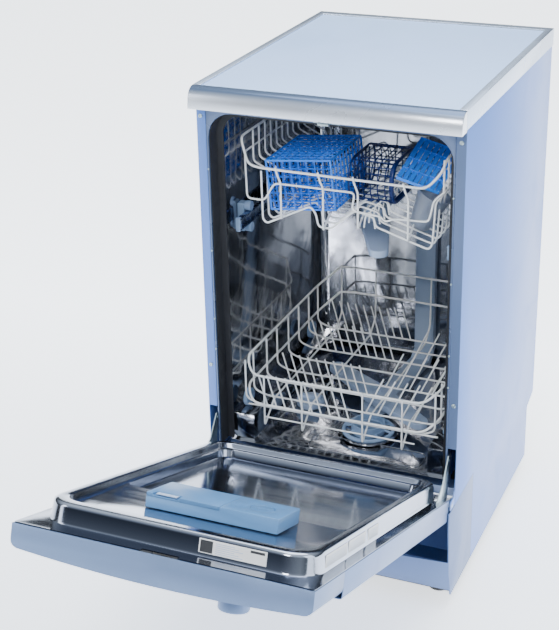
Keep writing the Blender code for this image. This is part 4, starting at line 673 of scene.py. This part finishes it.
def wire_object(name, wires, body, mat, replaced=None):
    bpy.ops.object.select_all(action="DESELECT")
    bpy.ops.curve.primitive_nurbs_path_add(location=(0, 0, 0))
    piece = bpy.context.object
    piece.name = name
    curve = piece.data
    curve.splines.clear()
    curve.dimensions = "3D"
    curve.resolution_u = 1
    curve.bevel_resolution = 2
    curve.use_fill_caps = True
    curve.bevel_depth = 0.001
    for points, radius, bend in wires:
        path = bent([place(*p) for p in points], bend)
        line = curve.splines.new("POLY")
        line.points.add(len(path) - 1)
        for spot, p in zip(line.points, path):
            spot.co = (*p, 1)
            spot.radius = radius / 0.001
    bpy.ops.object.convert(target="MESH")
    bpy.ops.object.mode_set(mode="EDIT")
    bpy.ops.mesh.select_all(action="SELECT")
    bpy.ops.mesh.normals_make_consistent(inside=False)
    bpy.ops.object.mode_set(mode="OBJECT")
    bpy.ops.object.shade_smooth_by_angle(angle=radians(50))
    dress(piece, mat)
    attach(piece, body)
    if replaced:
        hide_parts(replaced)
    print(name, len(wires), "wires,", len(piece.data.polygons), "faces")
    return piece


THICK, MEDIUM, THIN = 0.0021, 0.0017, 0.0014

# %% [markdown]
# ## Lower basket
# Two stout rims run round it, low at the front and stepping up to the sides and rear. Lighter wires
# come down from the rim, turn under as the floor, and carry rows of slanting tines that hold plates.
# At the front, four wires bend into V-shaped feet joined by one straight rail.

# %% Lower basket wires
side, front_y, rear_y = 0.1742, 0.0495, 0.4250
low_front, low_side, low_rear = 0.345, 0.374, 0.404
second_front, second_side, second_rear = 0.290, 0.320, 0.352
lower = []
for level_front, level_side, level_rear in ((low_front, low_side, low_rear),
                                            (second_front, second_side, second_rear)):
    lower.append(([(-0.140, rear_y, level_rear), (-side, rear_y - 0.035, level_side),
                   (-side, front_y + 0.010, level_side),
                   (-side + 0.012, front_y, level_front), (side - 0.026, front_y, level_front),
                   (side, front_y + 0.008, level_side - 0.004), (side, rear_y - 0.035, level_side),
                   (0.140, rear_y, level_rear)], THICK, 0.016))
    lower.append(([(-0.140, rear_y, level_rear), (-0.110, rear_y, level_rear + 0.003),
                   (0.140, rear_y, level_rear)],
                  THICK, 0.01))
floor_z = 0.2870
cross_rows = (0.0560, 0.0900, 0.1480, 0.1950, 0.2480, 0.2980, 0.3480, 0.3950)
for y in cross_rows:
    lower.append(([(-side + 0.003, y - 0.012, low_side), (-side + 0.003, y - 0.012, 0.302),
                   (-side + 0.022, y, floor_z),
                   (side - 0.022, y, floor_z), (side - 0.003, y - 0.012, 0.302),
                   (side - 0.003, y - 0.012, low_side)],
                  MEDIUM, 0.010))
for x in (-0.138, -0.068, 0.0425, 0.113):
    lower.append(([(x, front_y - 0.003, low_front + 0.003), (x, front_y - 0.003, 0.2525),
                   (x, front_y + 0.040, floor_z - 0.003),
                   (x, rear_y - 0.030, floor_z - 0.003), (x, rear_y, floor_z + 0.022),
                   (x, rear_y + 0.002, low_rear + 0.003)],
                  MEDIUM, 0.005))
lower.append(([(-0.139, front_y + 0.002, 0.2660), (0.134, front_y + 0.002, 0.2660)], THIN, 0.01))
lower.append(([(-side + 0.004, front_y + 0.003, second_front - 0.004),
               (side, front_y + 0.003, second_front - 0.004)],
              MEDIUM, 0.01))
tine_rows = ((0.0560, -0.1365, 0.0168, 10), (0.1480, -0.1294, 0.0162, 10), (0.2980, -0.1330, 0.0162, 10),
             (0.3950, -0.1300, 0.0160, 10))
for y, first, pitch, count in tine_rows:
    for i in range(count):
        x = first + pitch * i
        lower.append(([(x, y, floor_z), (x - 0.0165, y, floor_z + 0.058)], THIN, 0.01))
for y, first, pitch, count in ((0.0900, 0.0330, 0.0215, 5), (0.1950, 0.0335, 0.0215, 5),
                               (0.2980, 0.0460, 0.0215, 5)):
    for i in range(count):
        x = first + pitch * i
        lower.append(([(x, y, floor_z), (x + 0.032, y, floor_z + 0.070)], THIN, 0.01))
wire_object("lower_basket_wires", lower, "lower_basket", wire_coating, "lower_basket")

# %% [markdown]
# ## Upper basket
# The top rim dips at the front so cups can be reached, and rises to the sides. A second rim snakes
# below it, and the floor is folded: high ridges down the middle carry the cup supports.

# %% Upper basket wires
upper = []
high_side, rim_front, mid_front = 0.7690, 0.7235, 0.7010
upper.append(([(-side, rear_y - 0.02, high_side), (-side, 0.0600, high_side + 0.001),
               (-0.157, 0.0490, 0.7285),
               (-0.137, 0.0490, rim_front + 0.001), (0.146, 0.0490, rim_front - 0.002),
               (0.170, 0.0500, 0.7500),
               (side, 0.0620, high_side), (side, rear_y - 0.02, high_side)], THICK, 0.014))
upper.append(([(-side, rear_y - 0.02, high_side), (-0.150, rear_y, high_side), (0.150, rear_y, high_side),
               (side, rear_y - 0.02, high_side)], THICK, 0.014))
upper.append(([(-side, rear_y - 0.02, 0.7400), (-side, 0.0750, 0.7400), (-0.160, 0.0490, 0.6700),
               (-0.129, 0.0490, 0.6695),
               (-0.111, 0.0490, mid_front), (0.0276, 0.0490, mid_front), (0.0226, 0.0490, 0.6705),
               (0.0715, 0.0490, 0.6663),
               (0.0795, 0.0490, 0.6584), (0.0919, 0.0490, 0.6651), (0.1512, 0.0490, 0.6677),
               (0.1589, 0.0490, 0.7047),
               (side, 0.0530, 0.7180), (side, rear_y - 0.02, 0.7200)], MEDIUM, 0.008))
for i in range(16):
    y = 0.0520 + i * 0.0245
    left_part = [(-side + 0.002, y + 0.004, high_side), (-side + 0.002, y + 0.004, 0.7150),
                 (-0.1370, y, 0.7000)]
    if i < 2:
        left_part = [(-0.1354, y, 0.7180)]
    upper.append((left_part + [(-0.1340, y, 0.6350), (-0.1270, y, 0.6290), (-0.0500, y, 0.6675),
                               (-0.0406, y, 0.6571),
                   (-0.0357, y, 0.6345), (-0.0149, y, 0.6335), (0.0264, y, 0.6694), (0.0593, y, 0.6622),
                   (0.0620, y, 0.6473), (0.1174, y, 0.6300), (0.1511, y, 0.6200), (0.1570, y, 0.6300),
                   (0.1610, y, 0.7000), (side - 0.002, y + 0.004, 0.7150),
                               (side - 0.002, y + 0.004, high_side)],
                  MEDIUM, 0.006))
for x, top in ((-0.0990, 0.7260), (-0.0256, 0.7255), (0.0338, 0.7250), (0.1177, 0.7240)):
    foot = 0.6400 if x < -0.05 or 0 < x < 0.05 else 0.6300
    upper.append(([(x - 0.009, 0.0470, top + 0.003), (x - 0.006, 0.0470, top - 0.010),
                   (x, 0.0468, top - 0.022),
                   (x, 0.0468, foot), (x, 0.0800, foot + 0.022), (x, rear_y - 0.010, foot + 0.022),
                   (x, rear_y + 0.001, high_side)], MEDIUM, 0.006))
for i in range(9):
    y = 0.0560 + i * 0.0230
    upper.append(([(0.0410, y, 0.6420), (0.0440, y - 0.002, 0.6620), (0.0500, y, 0.6700),
                   (0.0560, y + 0.002, 0.6620),
                   (0.0600, y, 0.6420)], THIN, 0.005))
wire_object("upper_basket_wires", upper, "upper_basket", wire_coating, "upper_basket")

# %% [markdown]
# ## Lattice baskets for cutlery
# The cutlery baskets are moulded as open lattices so that water passes. Each wall is drawn as rows
# of points joined into cells, and the wireframe modifier turns every edge of a cell into a bar. The
# mould leaves a solid lip round the open mouth, which is a swept band here.


# %% Lattice from a divided surface
def cage(name, rows, bars, body, mat, replaced, lips, roll=0):
    """rows: lists of corner points; neighbouring rows are bridged, then every edge becomes a bar."""
    bpy.ops.object.select_all(action="DESELECT")
    bpy.ops.mesh.primitive_plane_add(size=0.01, location=(0, 0, 0))
    piece = bpy.context.object
    piece.name = name
    work = bmesh.new()
    for sheet_rows, closed in rows:
        loops = [[work.verts.new(place(*p)) for p in row] for row in sheet_rows]
        for one, two in zip(loops, loops[1:]):
            count = len(one) if closed else len(one) - 1
            for i in range(count):
                j = (i + 1) % len(one)
                work.faces.new((one[i], one[j], two[j], two[i]))
    bmesh.ops.remove_doubles(work, verts=work.verts, dist=0.0002)
    bmesh.ops.recalc_face_normals(work, faces=work.faces)
    work.to_mesh(piece.data)
    work.free()
    step = piece.modifiers.new("bars", "WIREFRAME")
    step.thickness = bars
    step.use_even_offset = False
    apply_all(piece)
    dress(piece, mat)
    if roll:
        middle = sum((Vector(v.co) for v in piece.data.vertices), Vector()) / len(piece.data.vertices)
        lean = Matrix.Translation(middle) @ Matrix.Rotation(-radians(roll), 4,
                                                            "Y") @ Matrix.Translation(-middle)
        piece.data.transform(lean)
    if lips:
        band = wire_object(name + "_lip", lips, body, mat)
        if roll:
            band.data.transform(lean)
        bpy.ops.object.select_all(action="DESELECT")
        band.select_set(True)
        piece.select_set(True)
        bpy.context.view_layer.objects.active = piece
        bpy.ops.object.join()
    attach(piece, body)
    if replaced:
        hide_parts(replaced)
    print(name, len(piece.data.polygons), "faces")
    return piece


def steps(low, high, count):
    return [low + (high - low) * i / count for i in range(count + 1)]


# %% Bright cutlery basket
left, right, near, far, base, top = -0.1275, -0.0145, 0.0630, 0.2045, 0.6560, 0.7390
xs, ys, zs = steps(left, right, 8), steps(near, far, 10), steps(base, top, 6)
walls = [
    ([[(x, near, z) for x in xs] for z in zs], False), ([[(left, y, z) for y in ys] for z in zs], False),
    ([[(right, y, z) for y in ys] for z in zs], False), ([[(x, y, base) for x in xs] for y in ys], False),
    ([[(x, y, top) for x in xs] for y in ys], False),
    ([[(xs[3], y, z) for y in ys[::2]] for z in zs], False),
    ([[(x, ys[4], z) for x in xs[::2]] for z in zs], False)]
lip = [([(left, near, top), (right, near, top), (right, far, top), (left, far, top), (left, near, top)],
        0.0020, 0.004),
       ([(left, near, base), (right, near, base), (right, near, top)], 0.0018, 0.004),
       ([(left, near, base), (left, near, top)], 0.0018, 0.004),
       ([(left, far, base), (right, far, base), (right, far, top), (left, far, top), (left, far, base)],
        0.0020, 0.004)]
cage("cutlery_lattice", walls, 0.0034, "upper_basket", bright_blue, "cutlery_basket",
     lip, roll=6)

# %% Dark second basket, open towards the right
low_y, high_y, low_z, high_z, turn = 0.112, 0.243, 0.657, 0.731, 0.030


def oval(x, inset=0.0):
    ring = []
    for cy, cz, start in ((high_y - turn, high_z - turn, 0), (low_y + turn, high_z - turn, 90),
                          (low_y + turn, low_z + turn, 180), (high_y - turn, low_z + turn, 270)):
        for k in range(5):
            a = radians(start + 22.5 * k)
            ring.append((x, cy + (turn - inset) * cos(a), cz + (turn - inset) * sin(a)))
    return ring


xs = steps(-0.0065, 0.0680, 6)
back = [[(xs[0], y, z) for y in steps(low_y + turn, high_y - turn, 4)] for z in steps(low_z + 0.004,
                                                                                      high_z - 0.004, 4)]
hoops = [(oval(xs[0], 0.001) + oval(xs[0], 0.001)[:1], 0.0018, 0.004),
         (oval(0.0675, 0.003) + oval(0.0675, 0.003)[:1], 0.0030, 0.004),
         (oval(0.0640, 0.005) + oval(0.0640, 0.005)[:1], 0.0024, 0.004)]
cage("small_lattice", [([oval(x, 0.0015) for x in xs], True), (back, False)], 0.0030, "upper_basket",
     deep_blue,
     "small_cutlery_basket", hoops)

# %% [markdown]
# ## Ribbed divider grid
# A loose lid that drops onto the cutlery basket: a thin plate stiffened by upright ribs, with slots
# between them. Each slat and each rib is a thin slab, and the whole is tilted as it lies.

# %% Divider grid
low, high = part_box("cutlery_grid")
centre = Vector(((low[0] + high[0]) / 2, (low[1] + high[1]) / 2, (low[2] + high[2]) / 2))
tilt = Matrix.Translation(centre) @ Matrix.Rotation(radians(14), 4, "Y") @ Matrix.Rotation(radians(22), 4,
                                                                                           "X")
work = bmesh.new()


def slab(x0, x1, y0, y1, z0, z1):
    box_at = Matrix.Translation(((x0 + x1) / 2, (y0 + y1) / 2, (z0 + z1) / 2))
    bmesh.ops.create_cube(work, size=1,
                          matrix=tilt @ box_at @ Matrix.Diagonal((x1 - x0, y1 - y0, z1 - z0, 1)))


for i in range(8):
    x = -0.0362 + i * 0.0094
    slab(x, x + 0.0072, -0.0515, 0.0515, -0.0008, 0.0012)
    slab(x, x + 0.0012, -0.0515, 0.0515, -0.0032, 0.0032)
for y in (-0.0520, -0.0260, 0.0, 0.0260, 0.0508):
    slab(-0.0364, 0.0364, y, y + 0.0014, -0.0034, 0.0026)
mesh = bpy.data.meshes.new("divider_grid")
work.to_mesh(mesh)
work.free()
grid = bpy.data.objects.new("divider_grid", mesh)
bpy.context.collection.objects.link(grid)
step = grid.modifiers.new("soft", "BEVEL")
step.width = 0.0003
apply_all(grid)
dress(grid, bright_blue)
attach(grid, "upper_basket")
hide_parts("cutlery_grid")
print("divider grid", len(mesh.polygons), "faces")

# %% [markdown]
# ## Roller brackets, end stops, plug and screws
# Small fittings say what holds what. The top rack's rollers turn on a moulded bracket on each wall, the
# rail meets a stop at its front end, and low-head screws fix the front frame to the pillars.


# %% A moulded block and a screw
def block(name, corners, body, mat, radius=0.0015):
    (x0, y0, z0), (x1, y1, z1) = corners
    bpy.ops.object.select_all(action="DESELECT")
    bpy.ops.mesh.primitive_cube_add(size=1, location=(0, 0, 0))
    piece = bpy.context.object
    piece.name = name
    piece.data.transform(Matrix.Translation(place((x0 + x1) / 2, (y0 + y1) / 2, (z0 + z1) / 2))
                         @ Matrix.Diagonal((x1 - x0, y1 - y0, z1 - z0, 1)))
    bpy.ops.object.mode_set(mode="EDIT")
    bpy.ops.mesh.select_all(action="SELECT")
    bpy.ops.mesh.inset(thickness=0.0018, depth=0, use_individual=True)
    bpy.ops.object.mode_set(mode="OBJECT")
    step = piece.modifiers.new("edge", "BEVEL")
    step.width = radius
    step.segments = 3
    step.limit_method = "ANGLE"
    apply_all(piece)
    bpy.ops.object.shade_smooth_by_angle(angle=radians(38))
    dress(piece, mat)
    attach(piece, body)
    return piece


def screw(name, spot, radius, body, mat, facing="front"):
    bpy.ops.object.select_all(action="DESELECT")
    bpy.ops.mesh.primitive_cylinder_add(vertices=20, radius=radius, depth=0.0016, location=(0, 0, 0))
    piece = bpy.context.object
    piece.name = name
    bpy.ops.object.mode_set(mode="EDIT")
    bpy.ops.mesh.select_all(action="DESELECT")
    bpy.ops.object.mode_set(mode="OBJECT")
    for face in piece.data.polygons:
        face.select = face.normal.z > 0.9
    bpy.ops.object.mode_set(mode="EDIT")
    bpy.ops.mesh.inset(thickness=radius * 0.25, depth=0.0006)
    bpy.ops.mesh.inset(thickness=radius * 0.3, depth=0)
    bpy.ops.mesh.inset(thickness=radius * 0.06, depth=-0.0008)
    bpy.ops.object.mode_set(mode="OBJECT")
    turn = {"front": Matrix.Rotation(radians(90), 4, "X"), "right": Matrix.Rotation(radians(90), 4, "Y"),
            "left": Matrix.Rotation(radians(-90), 4, "Y")}[facing]
    piece.data.transform(Matrix.Translation(place(*spot)) @ turn)
    bpy.ops.object.shade_smooth_by_angle(angle=radians(30))
    dress(piece, mat)
    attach(piece, body)
    return piece


# %% Fit them
wall_in, rivet_y = 0.2018, -0.0002
for side, label in ((-1, "left"), (1, "right")):
    xs = sorted((side * 0.1890, side * (wall_in - 0.0006)))
    block("roller_bracket_" + label, ((xs[0], 0.0960, 0.5900), (xs[1], 0.1140, 0.6400)), "cabinet",
          pale_moulding)
    xs = sorted((side * 0.1795, side * 0.1872))
    block("rail_stop_" + label, ((xs[0], 0.0580, 0.6035), (xs[1], 0.0660, 0.6280)), "upper_rails",
          pale_moulding)
    for z in (0.818, 0.379):
        screw("frame_screw_%s_%d" % (label, z * 1000), (side * 0.2145, -0.0006, z), 0.0034, "cabinet",
              zinc_plate)
    for z in (0.730, 0.589, 0.466, 0.410):
        screw("gasket_rivet_%s_%d" % (label, z * 1000), (side * 0.2043, rivet_y, z), 0.0016, "cabinet",
              zinc_plate)
screw("wall_plug", (-wall_in + 0.0008, 0.0400, 0.755), 0.0070, "cabinet", pale_moulding,
      "right")
ring = [(0.020 + 0.044 * cos(radians(a)), 0.141 + 0.044 * sin(radians(a)), 0.2262) for a in range(0, 361, 15)]
crown = [(0.020 + 0.028 * cos(radians(a)), 0.141 + 0.028 * sin(radians(a)), 0.2300) for a in range(0, 361,
                                                                                                   15)]
spokes = [([ring[k], crown[k]], 0.0022, 0.001) for k in range(0, 24, 3)]
wire_object("filter_ring", [(ring, 0.0034, 0.001), (crown, 0.0028, 0.001)] + spokes, "cabinet", pale_moulding)
bead = []
for cx, cy, start in ((0.128, 0.102, 0), (-0.050, 0.102, 90), (-0.050, 0.078, 180), (0.128, 0.078, 270)):
    bead += [(cx + 0.014 * cos(radians(start + t)), cy + 0.014 * sin(radians(start + t)) - 0.012, 0.2202)
             for t in (0, 30, 60, 90)]
wire_object("floor_bead", [(bead + bead[:1], 0.0012, 0.001)], "cabinet", polished_steel)
print("fittings done")

# %% [markdown]
# ## Labels and dispenser details
# Data plates are thin printed foil stuck on the liner's walls. Only their layout is shown: pale foil,
# a dark field and rows of fine grey bars, with no words. The dispenser gets the small ribs
# that grip the thumb and its catch.


# %% Foil plates without words
def foil(name, corners, mat, body="door"):
    (x0, y0, z0), (x1, y1, z1) = corners
    bpy.ops.object.select_all(action="DESELECT")
    bpy.ops.mesh.primitive_cube_add(size=1, location=(0, 0, 0))
    piece = bpy.context.object
    piece.name = name
    piece.data.transform(Matrix.Translation(place((x0 + x1) / 2, (y0 + y1) / 2, (z0 + z1) / 2))
                         @ Matrix.Diagonal((x1 - x0, y1 - y0, z1 - z0, 1)))
    step = piece.modifiers.new("edge", "BEVEL")
    step.width = min(x1 - x0, y1 - y0, z1 - z0) * 0.3
    step.segments = 2
    apply_all(piece)
    dress(piece, mat)
    swing(piece)
    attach(piece, body)
    return piece


wall_z = 0.7998
foil("front_label", ((0.041, 0.0028, wall_z - 0.0010), (0.137, 0.0215, wall_z + 0.0004)), label_paper)
foil("front_label_field", ((0.043, 0.0040, wall_z), (0.061, 0.0202, wall_z + 0.0006)), dark_plastic)
foil("front_label_mark", ((0.114, 0.0165, wall_z), (0.134, 0.0200, wall_z + 0.0006)), dark_plastic)
for i in range(6):
    foil("front_label_line_%d" % i,
         ((0.065, 0.0050 + i * 0.0026, wall_z), (0.104 - 0.006 * (i % 3), 0.0058 + i * 0.0026,
         wall_z + 0.0005)), slate_moulding)
wall_x = 0.1996
for i, (z0, z1) in enumerate(((0.668, 0.752), (0.592, 0.662), (0.535, 0.580))):
    foil("side_label_%d" % i, ((wall_x - 0.0006, 0.0030, z0), (wall_x + 0.0005, 0.0200, z1)), label_paper)
    for k in range(4):
        foil("side_label_%d_line_%d" % (i, k), ((wall_x, 0.0058 + k * 0.0032, z0 + 0.005 + 0.006 * (k % 2)),
             (wall_x + 0.0007, 0.0066 + k * 0.0032, z1 - 0.005)), slate_moulding)
print("labels done")

# %% Dispenser details
top_y = 0.0388
for i in range(4):
    for k in range(3):
        foil("dispenser_rib_%d_%d" % (i, k), ((0.024 + i * 0.0062, top_y - 0.0006, 0.6660 - k * 0.0062),
             (0.0282 + i * 0.0062, top_y + 0.0002, 0.6672 - k * 0.0062)), dispenser_plastic)
foil("dispenser_catch", ((-0.078, top_y - 0.0020, 0.6855), (-0.046, top_y - 0.0004, 0.6945)), slate_moulding)
print("dispenser details done")
